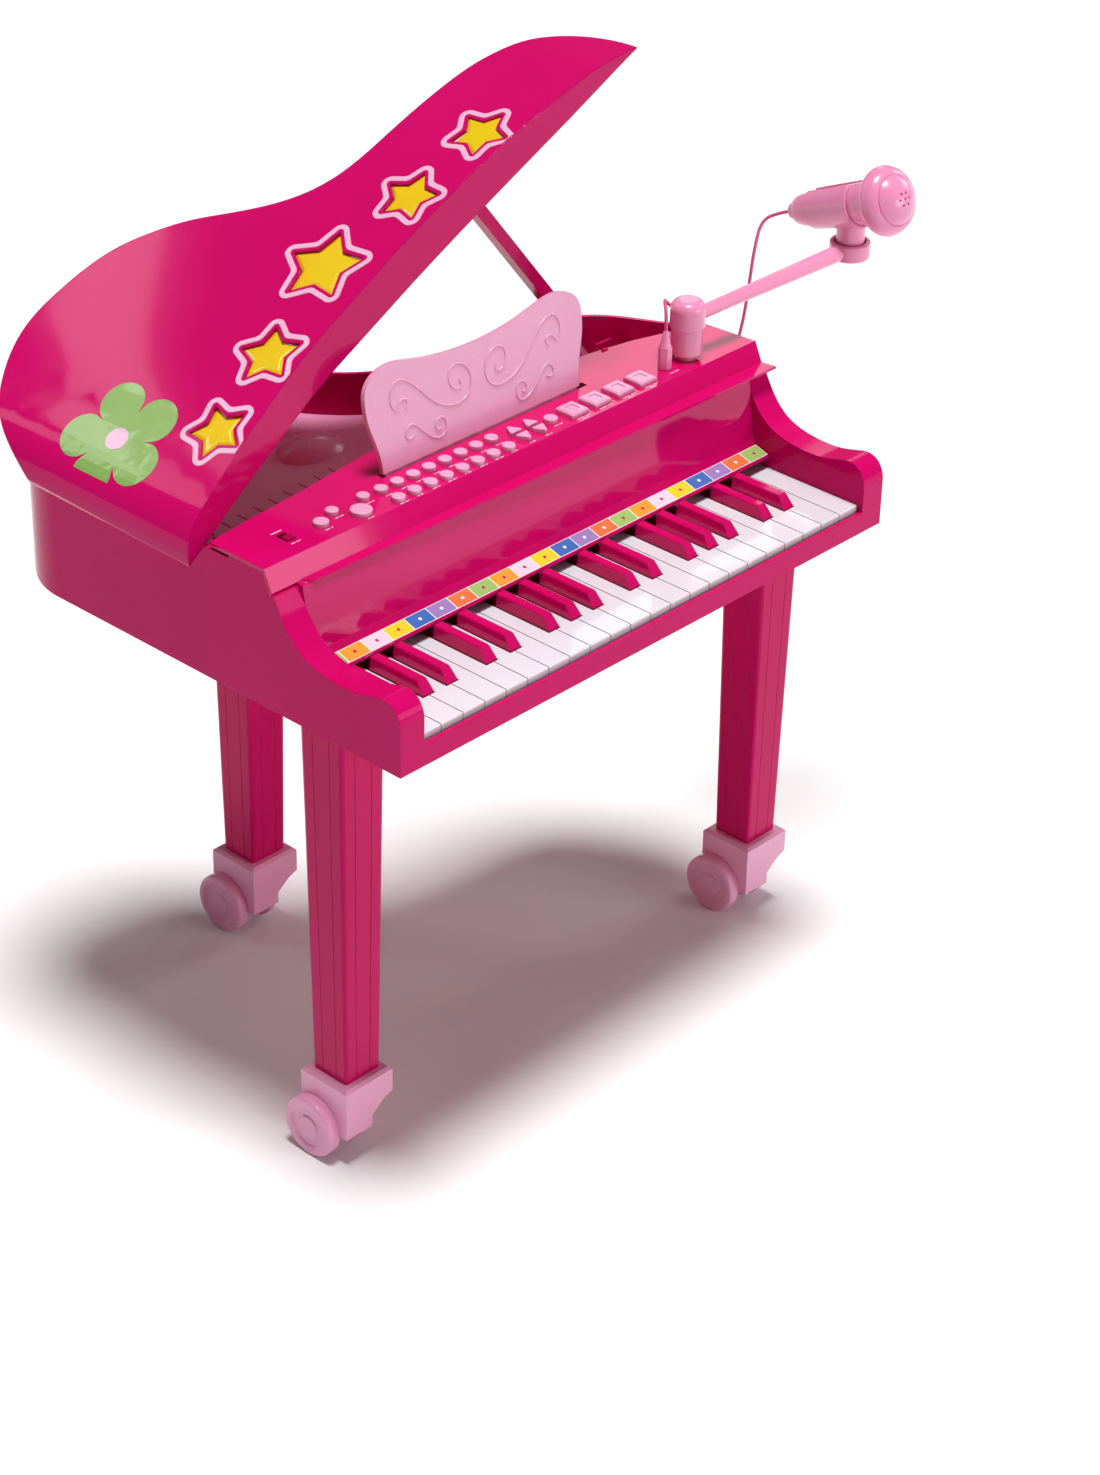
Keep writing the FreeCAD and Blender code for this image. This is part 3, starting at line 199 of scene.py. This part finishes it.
STRIP_TONES = [("green", (0.33, 0.55, 0.15)), ("orange", (0.88, 0.36, 0.04)),
               ("blush", (0.86, 0.66, 0.78)), ("yellow", (0.92, 0.66, 0.03)),
               ("blue", (0.05, 0.16, 0.50)), ("violet", (0.33, 0.22, 0.52)),
               ("coral", (0.80, 0.19, 0.06))]
STRIP_DEEP = 0.9
STRIP = [plastic("strip_" + name, tone, tuple(STRIP_DEEP * c for c in tone), rough=0.22,
                 coat=0.4, edge=0) for name, tone in STRIP_TONES]
PAPER = plastic("strip_white", (0.88, 0.86, 0.88), (0.84, 0.82, 0.85), rough=0.3, coat=0.2, edge=0)

NODE_LOOK = {
    "case_shell": HOT, "base_plate": BASE, "control_panel": PANEL, "soundboard": DECK_PAINTED_FILL,
    "legs": LEG, "caster_feet": FOOT_AND_PAINTED_FILL, "speaker": CONE, "circuit_boards": BOARD,
    "mic_post": MIC, "lid": LID, "star_lenses": YELLOW, "lid_prop": HOT,
    "music_stand": PALE, "mic_arm": MIC, "mic_clip": MIC, "microphone": MIC, "mic_plug": MIC,
    "battery_door": BASE, "round_buttons": PALE, "arrow_buttons": PALE,
    "square_buttons": PALE, "power_switch": SHARP,
}


def dress_nodes():
    """Gives every solid but the cord's its material."""
    for name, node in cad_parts.items():
        if name == "mic_cord":
            continue
        if name.startswith("white_key"):
            look = WHITE
        elif name.startswith("black_key"):
            look = SHARP
        else:
            look = NODE_LOOK[name]
        for slot in node.material_slots:
            slot.material = look


dress_nodes()


# ---- building pieces -------------------------------------------------------------------------
def piece(name, vertices, faces, looks, body, face_looks=None):
    """A mesh piece in the frame's metres, riding on a body."""
    mesh = bpy.data.meshes.new(name)
    mesh.from_pydata([tuple(v) for v in vertices], [], faces)
    for look in looks:
        mesh.materials.append(look)
    if face_looks:
        mesh.polygons.foreach_set("material_index", face_looks)
    shaped = bmesh.new()
    shaped.from_mesh(mesh)
    bmesh.ops.recalc_face_normals(shaped, faces=shaped.faces[:])
    shaped.to_mesh(mesh)
    shaped.free()
    made = show(name, mesh)
    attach(made, body)


def round_line(name, runs, width, roundness, steps, look):
    """A curve with a round section, smooth along each run of placed points."""
    line = bpy.data.curves.new(name, "CURVE")
    line.dimensions = "3D"
    line.bevel_depth = width / 2 * MM
    line.bevel_resolution = roundness
    line.use_fill_caps = True
    for run in runs:
        spline = line.splines.new("NURBS")
        spline.points.add(len(run) - 1)
        for spot, point in zip(run, spline.points):
            point.co = (*spot, 1.0)
        spline.order_u = 3
        spline.use_endpoint_u = True
        spline.resolution_u = steps
    line.materials.append(look)
    return line


def surface_of(name):
    """The surface of a CAD node at rest, for laying pieces on it."""
    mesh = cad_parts[name].data
    return BVHTree.FromPolygons([v.co for v in mesh.vertices],
                                [tuple(p.vertices) for p in mesh.polygons])


# ---- cord: the same route as the solid's --------------------------------------------------------
CORD_D = 2.6
CORD_ROUTE = [(379.6, 132.7, 111), (379.6, 132.7, 124), (388.5, 143, 129), (403, 153, 119),
              (427, 165, 101), (451, 179, 86), (464, 192, 54), (468, 199, 14), (478, 203, -20),
              (499, 206, -36), (522, 206, -26), (538, 203, 4), (547, 200, 38), (550, 198, 71),
              (555, 199, 98), (568, 204, 117), (577.25, 192.72, 123.46), (576.36, 181.71, 128.02)]
cord = show("cord", round_line("mic_cord_line", [[at(*spot) for spot in CORD_ROUTE]], CORD_D,
                               roundness=5, steps=16, look=CORD))
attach(cord, "case")
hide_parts("mic_cord")


# ---- lid: bands round the stars, faceted stars and the flower ----------------------------------
LID_OPEN = math.radians(30.0)
LID_HINGE = (-14.8, 82.4)
LID_NORMAL = Vector((-math.sin(LID_OPEN), 0, math.cos(LID_OPEN)))
STARS = [(332.7, 201.0, 20.5, -8), (266.6, 208.5, 21.0, 9), (194.3, 226.1, 28.8, 16.6),
         (120.1, 212.1, 22.5, 28), (56.6, 204.7, 21.1, 44.5)]
STAR_WAIST = 0.55
STAR_CORNERS = 10
LID_FRONT = [(0, 173), (38, 178), (81, 182), (111, 185), (240, 183), (290, 180), (343, 176),
             (395, 172)]
BAND_MARGIN = 1.3
TIP_STEPS = 10
TIP_EASE = 0.7
WAIST_EASE = 2.6
# Rays that look for a surface start this high over the lid's lower rim.
LID_SKY = 60.0
# How far each ring lies outside the window's edge, and how high over the surface.
BAND_STEPS = [(6.5, -0.1), (6.4, 0.35), (5.6, 0.5), (4.5, 0.55), (3.4, 0.5), (2.6, 0.35),
              (2.5, -0.1)]
FACET_STEPS = [(-0.5, 0.02), (-0.9, 0.45), (-2.6, 1.0), (-3.6, 0.95), (-4.6, 0.95)]
LID_FACE = surface_of("lid")
LENS_FACE = surface_of("star_lenses")


def lid_at(s, y, n):
    """A point of the open lid: s across from the hinge, n up from its lower rim."""
    return at(LID_HINGE[0] + s * math.cos(LID_OPEN) - n * math.sin(LID_OPEN), y,
              LID_HINGE[1] + s * math.sin(LID_OPEN) + n * math.cos(LID_OPEN))


def laid(face, s, y, lift):
    """The point over (s, y) of the lid that is this many millimetres above a surface."""
    hit = face.ray_cast(lid_at(s, y, LID_SKY), -LID_NORMAL)[0]
    return hit + LID_NORMAL * lift * MM


def lid_front(s):
    """Where the lid's front edge lies, this far across from the hinge."""
    for (s0, y0), (s1, y1) in zip(LID_FRONT, LID_FRONT[1:]):
        if s <= s1:
            break
    return y0 + (y1 - y0) * (s - s0) / (s1 - s0)


def star_outline(s, y, radius, turn, grow):
    """A five-pointed star moved out by grow, with round tips, or in where grow is negative."""
    corners = []
    for k in range(STAR_CORNERS):
        reach = radius * (STAR_WAIST if k % 2 else 1.0)
        a = math.radians(turn + 360 / STAR_CORNERS * k)
        corners.append(Vector((s + reach * math.cos(a), y + reach * math.sin(a))))
    outline = []
    for k in range(STAR_CORNERS):
        before, corner, after = corners[k - 1], corners[k], corners[(k + 1) % STAR_CORNERS]
        back = (before - corner).normalized()
        ahead = (after - corner).normalized()
        outward = (corner - Vector((s, y))).normalized()
        if k % 2 == 0 and grow > 0:
            first = Vector((-back.y, back.x))
            last = Vector((ahead.y, -ahead.x))
            start, end = math.atan2(first.y, first.x), math.atan2(last.y, last.x)
            sweep = (end - start + math.pi) % (2 * math.pi) - math.pi
            for step in range(TIP_STEPS + 1):
                a = start + sweep * step / TIP_STEPS
                outline.append(corner + Vector((math.cos(a), math.sin(a))) * grow)
            continue
        half = back.angle(ahead) / 2
        mitre = corner + outward * (grow / math.sin(half))
        ease = WAIST_EASE if k % 2 and grow > 0 else TIP_EASE
        for step in range(TIP_STEPS + 1):
            t = step / TIP_STEPS
            outline.append(mitre + back * ease * (1 - t) ** 2 + ahead * ease * t ** 2)
    return [(p.x, max(p.y, lid_front(p.x) + BAND_MARGIN)) for p in outline]


def laid_rings(name, face, rings, look, cap):
    """Closed outlines, each with its height over a surface, skinned one after another."""
    vertices = [laid(face, s, y, lift) for outline, lift in rings for s, y in outline]
    count = len(rings[0][0])
    faces = []
    for ring in range(len(rings) - 1):
        for k in range(count):
            a, b = ring * count + k, ring * count + (k + 1) % count
            faces.append((a, b, b + count, a + count))
    if cap:
        start = (len(rings) - 1) * count
        faces.append(tuple(range(start, start + count)))
    piece(name, vertices, faces, [look], "lid")


def star_band(index, s, y, radius, turn):
    """The pale raised band round one star window."""
    rings = [(star_outline(s, y, radius, turn, grow), lift) for grow, lift in BAND_STEPS]
    rings.append(rings[0])
    laid_rings("star_band_%d" % index, LID_FACE, rings, BAND, cap=False)


def star_facet(index, s, y, radius, turn):
    """The raised, bevelled middle of one yellow star."""
    rings = [(star_outline(s, y, radius, turn, grow), lift) for grow, lift in FACET_STEPS]
    laid_rings("star_facet_%d" % index, LENS_FACE, rings, YELLOW, cap=True)


for index, star in enumerate(STARS, 1):
    star_band(index, *star)
    star_facet(index, *star)

CREASE_S = -7.3
FLOWER_CENTRE = (22.1, 271.6)
PETALS = 5
PETAL_STEPS = 24
PETAL_REACH = 45.0
PETAL_NOTCH = 22.0
PETAL_TURN = math.radians(34.0)
FLOWER_EYE_R = 8.5
EYE_STEPS = 48
FLOWER_LIFT = 0.22
EYE_LIFT = FLOWER_LIFT + 0.15
STICKER_GRID = 5.0
STICKER_MARGIN = STICKER_GRID * 0.4
STICKER_SKIRT = 0.1
CDT_INSIDE_ONLY = 1
CDT_NEARNESS = 0.001


def flower_outline():
    """A plain flower of equal round petals, cut off straight along the lid's crease."""
    outline = []
    count = PETALS * PETAL_STEPS
    for k in range(count):
        a = 2 * math.pi * k / count
        swell = math.sqrt(abs(math.cos(PETALS * a / 2)))
        reach = PETAL_NOTCH + (PETAL_REACH - PETAL_NOTCH) * swell
        s = FLOWER_CENTRE[0] + reach * math.cos(a + PETAL_TURN)
        outline.append(Vector((max(s, CREASE_S),
                               FLOWER_CENTRE[1] + reach * math.sin(a + PETAL_TURN))))
    return outline


def eye_outline():
    """The round spot in the middle of the flower."""
    angles = [2 * math.pi * k / EYE_STEPS for k in range(EYE_STEPS)]
    return [Vector((FLOWER_CENTRE[0] + FLOWER_EYE_R * math.cos(a),
                    FLOWER_CENTRE[1] + FLOWER_EYE_R * math.sin(a))) for a in angles]


def lid_sticker(name, loop, lift, look):
    """A thin filled shape that follows the lid's surface, with a skirt down to it."""
    low = [min(p[axis] for p in loop) for axis in (0, 1)]
    high = [max(p[axis] for p in loop) for axis in (0, 1)]
    spots = list(loop)
    for i in range(int((high[0] - low[0]) / STICKER_GRID)):
        for j in range(int((high[1] - low[1]) / STICKER_GRID)):
            spot = Vector((low[0] + (i + 0.5) * STICKER_GRID, low[1] + (j + 0.5) * STICKER_GRID))
            if all((spot - edge).length > STICKER_MARGIN for edge in loop):
                spots.append(spot)
    border = [(k, (k + 1) % len(loop)) for k in range(len(loop))]
    area = tuple(range(len(loop)))
    flat, _, faces, *_ = delaunay_2d_cdt(spots, border, [area], CDT_INSIDE_ONLY, CDT_NEARNESS)
    used = sorted({k for face in faces for k in face})
    place = {k: number for number, k in enumerate(used)}
    vertices = [laid(LID_FACE, *flat[k], lift) for k in used]
    skin = [tuple(place[k] for k in face) for face in faces]
    sides = {}
    for face in skin:
        for a, b in zip(face, face[1:] + face[:1]):
            side = (min(a, b), max(a, b))
            sides[side] = sides.get(side, 0) + 1
    foot = {}
    for (a, b), uses in sides.items():
        if uses > 1:
            continue
        for k in (a, b):
            if k not in foot:
                foot[k] = len(vertices)
                vertices.append(vertices[k] - LID_NORMAL * (lift + STICKER_SKIRT) * MM)
        skin.append((a, b, foot[b], foot[a]))
    piece(name, vertices, skin, [look], "lid")


lid_sticker("flower", flower_outline(), FLOWER_LIFT, GREEN)
lid_sticker("flower_centre", eye_outline(), EYE_LIFT, BAND)


# ---- coloured strip behind the keys ----------------------------------------------------------
KEY_PITCH = 20.0
KEY_COUNT = 22
STRIP_LOW = (82.3, 10.7)
STRIP_HIGH = (94.3, 14.44)
STRIP_GAP = 0.45
STRIP_END = 1.0
CELL_END = 1.6
# Shares of the slope's length, and heights over it, of the backing, the cells and the dots.
BACK_SHARES = (0.02, 0.98)
CELL_SHARES = (0.06, 0.94)
CORNER_SHARE = 0.04
BACK_CORNER = 0.6
CELL_CORNER = 0.5
BACK_LIFTS = (-0.1, 0.12)
CELL_LIFTS = (0.05, 0.24)
DOT_LIFTS = (0.2, 0.3)
DARK_CELLS = (4, 5, 6)
DOT_R = 1.3
DOT_SHARE = 0.105
DOT_STEPS = 16
CORNER_STEPS = 4


def slope_at(x, share, lift):
    """A point on the slope behind the keys: share 0 at its front, 1 at its back."""
    dy, dz = STRIP_HIGH[0] - STRIP_LOW[0], STRIP_HIGH[1] - STRIP_LOW[1]
    run = math.hypot(dy, dz)
    return at(x, STRIP_LOW[0] + dy * share - lift * dz / run,
              STRIP_LOW[1] + dz * share + lift * dy / run)


def tablet(vertices, faces, marks, outline, low, high, mark, place):
    """Adds a thin flat plate: outline points placed at a lower and an upper height."""
    start = len(vertices)
    count = len(outline)
    vertices += [place(*spot, low) for spot in outline] + [place(*spot, high) for spot in outline]
    faces.append(tuple(range(start + count, start + 2 * count)))
    marks.append(mark)
    for k in range(count):
        a, b = start + k, start + (k + 1) % count
        faces.append((a, b, b + count, a + count))
        marks.append(mark)


def rounded_rectangle(x0, x1, y0, y1, rx, ry):
    """A rectangle with elliptical corners, as a closed loop of points."""
    outline = []
    for cx, cy, first in ((x1 - rx, y1 - ry, 0), (x0 + rx, y1 - ry, 90), (x0 + rx, y0 + ry, 180),
                          (x1 - rx, y0 + ry, 270)):
        for step in range(CORNER_STEPS):
            a = math.radians(first + 90 / (CORNER_STEPS - 1) * step)
            outline.append((cx + rx * math.cos(a), cy + ry * math.sin(a)))
    return outline


def label_strip():
    """A white backing with one coloured cell and a plain dot behind each white key."""
    vertices, faces, marks = [], [], []
    length = KEY_PITCH * KEY_COUNT
    white, pink = len(STRIP), len(STRIP) + 1
    back = rounded_rectangle(STRIP_END, length - STRIP_END, *BACK_SHARES, BACK_CORNER,
                             CORNER_SHARE)
    tablet(vertices, faces, marks, back, *BACK_LIFTS, white, slope_at)
    for k in range(KEY_COUNT):
        tone = k % len(STRIP)
        x0 = max(k * KEY_PITCH + STRIP_GAP, CELL_END)
        x1 = min((k + 1) * KEY_PITCH - STRIP_GAP, length - CELL_END)
        cell = rounded_rectangle(x0, x1, *CELL_SHARES, CELL_CORNER, CORNER_SHARE)
        tablet(vertices, faces, marks, cell, *CELL_LIFTS, tone, slope_at)
        middle = (k + 0.5) * KEY_PITCH
        angles = [2 * math.pi * j / DOT_STEPS for j in range(DOT_STEPS)]
        dot = [(middle + DOT_R * math.cos(a), 0.5 + DOT_SHARE * math.sin(a)) for a in angles]
        dot_look = white if tone in DARK_CELLS else pink
        tablet(vertices, faces, marks, dot, *DOT_LIFTS, dot_look, slope_at)
    piece("label_strip", vertices, faces, STRIP + [PAPER, SHARP], "case", marks)


label_strip()


# ---- printed marks on the panel ----------------------------------------------------------------
PANEL_Z = 82.0
DASH = 0.85
DASH_LIFTS = (-0.1, 0.1)
MARK_WIDTHS = (5.6, 6.8, 8.0)
MARK_SPLITS = (0.35, 0.5, 0.65)
DASH_GAP = 1.0
DASH_CORNER = 0.35
ROUND_MARKS = [(106 + 15 * k, 133.0) for k in range(8)] + [(106 + 15 * k, 118.6) for k in range(8)]
ROUND_MARKS += [(45.7, 127.0), (61.7, 134.2), (75.8, 118.8), (90.4, 134.4), (261.3, 124.9)]
ROUND_MARKS += [(229.8, 119.6), (245.8, 119.6), (18.0, 129.0)]
SQUARE_MARKS = [282.0, 305.3, 329.0, 352.3]
SQUARE_ONE_ROW = 1
SQUARE_ROW = [(-6.5, 1.0, 120.9), (2.0, 6.5, 120.9)]
SQUARE_SECOND_ROW = (-3.5, 3.5, 118.9)
LONE_DASHES = [(376.0, 379.5, 124.0), (380.5, 385.0, 124.0), (13.0, 22.5, 147.5)]


def panel_at(x, y, lift):
    """A point this far over the control panel's top."""
    return at(x, y, PANEL_Z + lift)


def panel_marks():
    """Pairs of short dashes in front of each button, of three widths and three splits."""
    vertices, faces, marks = [], [], []
    dashes = []
    for number, (x, y) in enumerate(ROUND_MARKS):
        width = MARK_WIDTHS[number % 3]
        split = MARK_SPLITS[number * 2 % 3]
        dashes.append((x - width / 2, x - width / 2 + width * split - DASH_GAP / 2, y))
        dashes.append((x - width / 2 + width * split + DASH_GAP / 2, x + width / 2, y))
    for number, x in enumerate(SQUARE_MARKS):
        rows = SQUARE_ROW if number == SQUARE_ONE_ROW else SQUARE_ROW + [SQUARE_SECOND_ROW]
        dashes += [(x + x0, x + x1, y) for x0, x1, y in rows]
    for x0, x1, y in dashes + LONE_DASHES:
        outline = rounded_rectangle(x0, x1, y - DASH / 2, y + DASH / 2, DASH_CORNER,
                                    DASH_CORNER)
        tablet(vertices, faces, marks, outline, *DASH_LIFTS, 0, panel_at)
    piece("panel_marks", vertices, faces, [PRINT], "case", marks)


panel_marks()


# ---- music stand: raised scrolls ---------------------------------------------------------------
STAND_LEAN = math.radians(9.0)
STAND_X = 218.0
STAND_FOOT = (156.0, 82.9)
STAND_THICK = 3.6
SCROLL_RAISE = 0.28
STAND_FACE = (STAND_FOOT[0] - STAND_THICK / 2 * math.cos(STAND_LEAN),
              STAND_FOOT[1] - STAND_THICK / 2 * math.sin(STAND_LEAN) + SCROLL_RAISE)
SCROLL_D = 1.5
LARGE_SCROLL = [(-70, 38.6), (-66.5, 41.5), (-68.5, 45.5), (-73.5, 45.6), (-76.6, 41.5),
                (-77.6, 38.9), (-82.0, 43.2), (-82.7, 49.8), (-80.5, 56.0), (-76.5, 59.6),
                (-71, 59.6), (-64, 55.9), (-57.2, 49.6), (-50.5, 42.1), (-43.6, 35.1), (-35, 29.3),
                (-25.8, 26.5), (-17.8, 26.5), (-10.8, 29.6), (-7, 35.6), (-6.9, 42.7), (-9.6, 48.9),
                (-15.3, 53.4), (-21.5, 54.5), (-26.5, 51.4), (-28, 46), (-26.5, 40.1),
                (-21.2, 36.0), (-17.1, 37.0), (-16.2, 40.5), (-18.5, 42.9)]
SMALL_SCROLL = [(-64.6, 18.4), (-67.6, 16.2), (-71.0, 17.0), (-72.4, 20.0), (-71.0, 24.0),
                (-67, 26.9), (-61.2, 23.8), (-55.9, 17.8), (-48.9, 11.3), (-41.5, 8.1),
                (-35.5, 10.3), (-33.9, 15.7), (-35.5, 21.1), (-39.2, 22.9), (-43.5, 20.8),
                (-44.9, 16.5), (-42.2, 13.8), (-39.6, 14.9)]


def stand_at(x, up):
    """A point of the music stand's front face: x from its middle, up from its foot."""
    return at(STAND_X + x, STAND_FACE[0] + up * math.sin(STAND_LEAN),
              STAND_FACE[1] + up * math.cos(STAND_LEAN))


def stand_scrolls():
    """The large and the small scroll in relief, each with its mirror image."""
    runs = [[stand_at(x * side, up) for x, up in scroll]
            for side in (1, -1) for scroll in (LARGE_SCROLL, SMALL_SCROLL)]
    scrolls = show("stand_scrolls", round_line("stand_scrolls", runs, SCROLL_D, roundness=3,
                                               steps=5, look=PALE))
    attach(scrolls, "stand")


stand_scrolls()


# ---- screws under the case ---------------------------------------------------------------------
SCREWS = [(30, 20), (220, 20), (410, 20), (30, 140), (410, 140), (220, 120), (40, 330), (120, 370),
          (380, 235)]
UNDER_Z = -20.5
SCREW_SIDES = 24
SCREW_R = 3.4
SCREW_DROP = 1.6
# Radius and height over the base plate's underside, from the root of the head to its face.
SCREW_RINGS = [(SCREW_R, 0.1), (SCREW_R, -0.7), (SCREW_R * 0.86, -1.3),
               (SCREW_R * 0.6, -SCREW_DROP)]
CROSS_ARM = SCREW_R * 0.52
CROSS_HALF = SCREW_R * 0.12
CROSS_DEPTH = 1.0


def walls(made, low, high):
    """Faces between two closed loops of as many vertices."""
    count = len(low)
    for k in range(count):
        made.faces.new((low[k], low[(k + 1) % count], high[(k + 1) % count], high[k]))


def cross_outline(x, y):
    """A cross of four equal arms round (x, y), as a closed loop of twelve points."""
    outline = []
    for turn in range(4):
        a = math.pi / 2 * turn
        for u, v in ((CROSS_HALF, -CROSS_HALF), (CROSS_ARM, -CROSS_HALF), (CROSS_ARM, CROSS_HALF)):
            outline.append((x + u * math.cos(a) - v * math.sin(a),
                            y + u * math.sin(a) + v * math.cos(a)))
    return outline


def screw(made, x, y):
    """One pan-head screw with a cross recess, hanging under the base plate."""
    angles = [2 * math.pi * k / SCREW_SIDES for k in range(SCREW_SIDES)]
    loops = [[made.verts.new(at(x + r * math.cos(a), y + r * math.sin(a), UNDER_Z + lift))
              for a in angles] for r, lift in SCREW_RINGS]
    for low, high in zip(loops, loops[1:]):
        walls(made, low, high)
    cross = cross_outline(x, y)
    face_z = UNDER_Z - SCREW_DROP
    rim = [made.verts.new(at(px, py, face_z)) for px, py in cross]
    pit = [made.verts.new(at(px, py, face_z + CROSS_DEPTH)) for px, py in cross]
    walls(made, rim, pit)
    made.faces.new(pit)
    fill = [made.edges.get((loop[k], loop[(k + 1) % len(loop)]))
            for loop in (loops[-1], rim) for k in range(len(loop))]
    bmesh.ops.triangle_fill(made, use_beauty=True, edges=fill)
    made.faces.new(loops[0])


def screws():
    """All the screws in one mesh."""
    made = bmesh.new()
    for x, y in SCREWS:
        screw(made, x, y)
    bmesh.ops.recalc_face_normals(made, faces=made.faces[:])
    mesh = bpy.data.meshes.new("base_screws")
    made.to_mesh(mesh)
    made.free()
    mesh.materials.append(STEEL)
    shown = show("base_screws", mesh)
    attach(shown, "case")


screws()


# ---- floor and light -------------------------------------------------------------------------
FLOOR_SIZE = 60.0
FLOOR_TONES = (0.885, 0.905)
FLOOR_ROUGH = 0.8
MOTTLE_SCALE = 3.0
SKY_LIGHT = 0.10
SKY_SEEN = 0.92
SUN_POWER = 3.2
SUN_ANGLE = math.radians(15)
SUN_WAY = (0, 0.06, -1)
# Name, place, aim, width, height and power of each soft box, in metres and watts.
SOFT_BOXES = [("front_right", (0.9, -2.7, 0.95), (0, 0, 0.3), 1.6, 0.9, 20),
              ("right_side", (2.7, -0.4, 1.5), (-0.1, 0.1, 0.45), 1.0, 1.0, 10),
              ("back_right", (2.95, 2.1, 2.1), (0, 0, 0.45), 0.8, 1.0, 4),
              ("lid_streak", (-0.35, 2.5, 2.85), (-0.15, 0.1, 0.55), 1.3, 0.16, 2.8),
              ("lid_sheen", (-1.05, 1.9, 2.2), (-0.15, 0.1, 0.55), 0.25, 1.2, 2.6)]


def lay_floor():
    """A wide, matt, pale and faintly mottled floor."""
    bpy.ops.mesh.primitive_plane_add(size=FLOOR_SIZE, location=(0, 0, 0))
    floor = bpy.context.object
    floor.name = "floor"
    pale, nodes, links, shader = material("pale_floor")
    shader.inputs["Roughness"].default_value = FLOOR_ROUGH
    mottle = nodes.new("ShaderNodeTexNoise")
    mottle.inputs["Scale"].default_value = MOTTLE_SCALE
    tint = nodes.new("ShaderNodeValToRGB")
    for element, grey in zip(tint.color_ramp.elements, FLOOR_TONES):
        element.color = (grey, grey, grey, 1)
    links.new(mottle.outputs["Fac"], tint.inputs["Fac"])
    links.new(tint.outputs["Color"], shader.inputs["Base Color"])
    floor.data.materials.append(pale)


def white_world():
    """A white world: dim as a light, bright where the camera sees it past the floor."""
    world = bpy.data.worlds.new("studio")
    world.use_nodes = True
    nodes = world.node_tree.nodes
    backdrop = nodes["Background"]
    backdrop.inputs["Color"].default_value = (1, 1, 1, 1)
    seen = nodes.new("ShaderNodeLightPath")
    strength = nodes.new("ShaderNodeMapRange")
    strength.inputs["To Min"].default_value = SKY_LIGHT
    strength.inputs["To Max"].default_value = SKY_SEEN
    world.node_tree.links.new(seen.outputs["Is Camera Ray"], strength.inputs["Value"])
    world.node_tree.links.new(strength.outputs["Result"], backdrop.inputs["Strength"])
    bpy.context.scene.world = world
    bpy.context.scene.view_settings.view_transform = "Standard"


def facing(way):
    """The turn of a lamp that shines along this direction."""
    return Vector(way).to_track_quat("-Z", "Y").to_euler()


def overhead_sun():
    """A wide soft sun from almost straight above."""
    sun = bpy.data.lights.new("overhead", "SUN")
    sun.energy = SUN_POWER
    sun.angle = SUN_ANGLE
    show("overhead", sun).rotation_euler = facing(SUN_WAY)


def soft_box(name, place, aim, width, height, power):
    """A rectangular area light at one place, turned towards another."""
    box = bpy.data.lights.new(name, "AREA")
    box.shape = "RECTANGLE"
    box.size = width
    box.size_y = height
    box.energy = power
    lamp = show(name, box)
    lamp.location = place
    lamp.rotation_euler = facing(Vector(aim) - Vector(place))


lay_floor()
white_world()
overhead_sun()
for soft_box_row in SOFT_BOXES:
    soft_box(*soft_box_row)
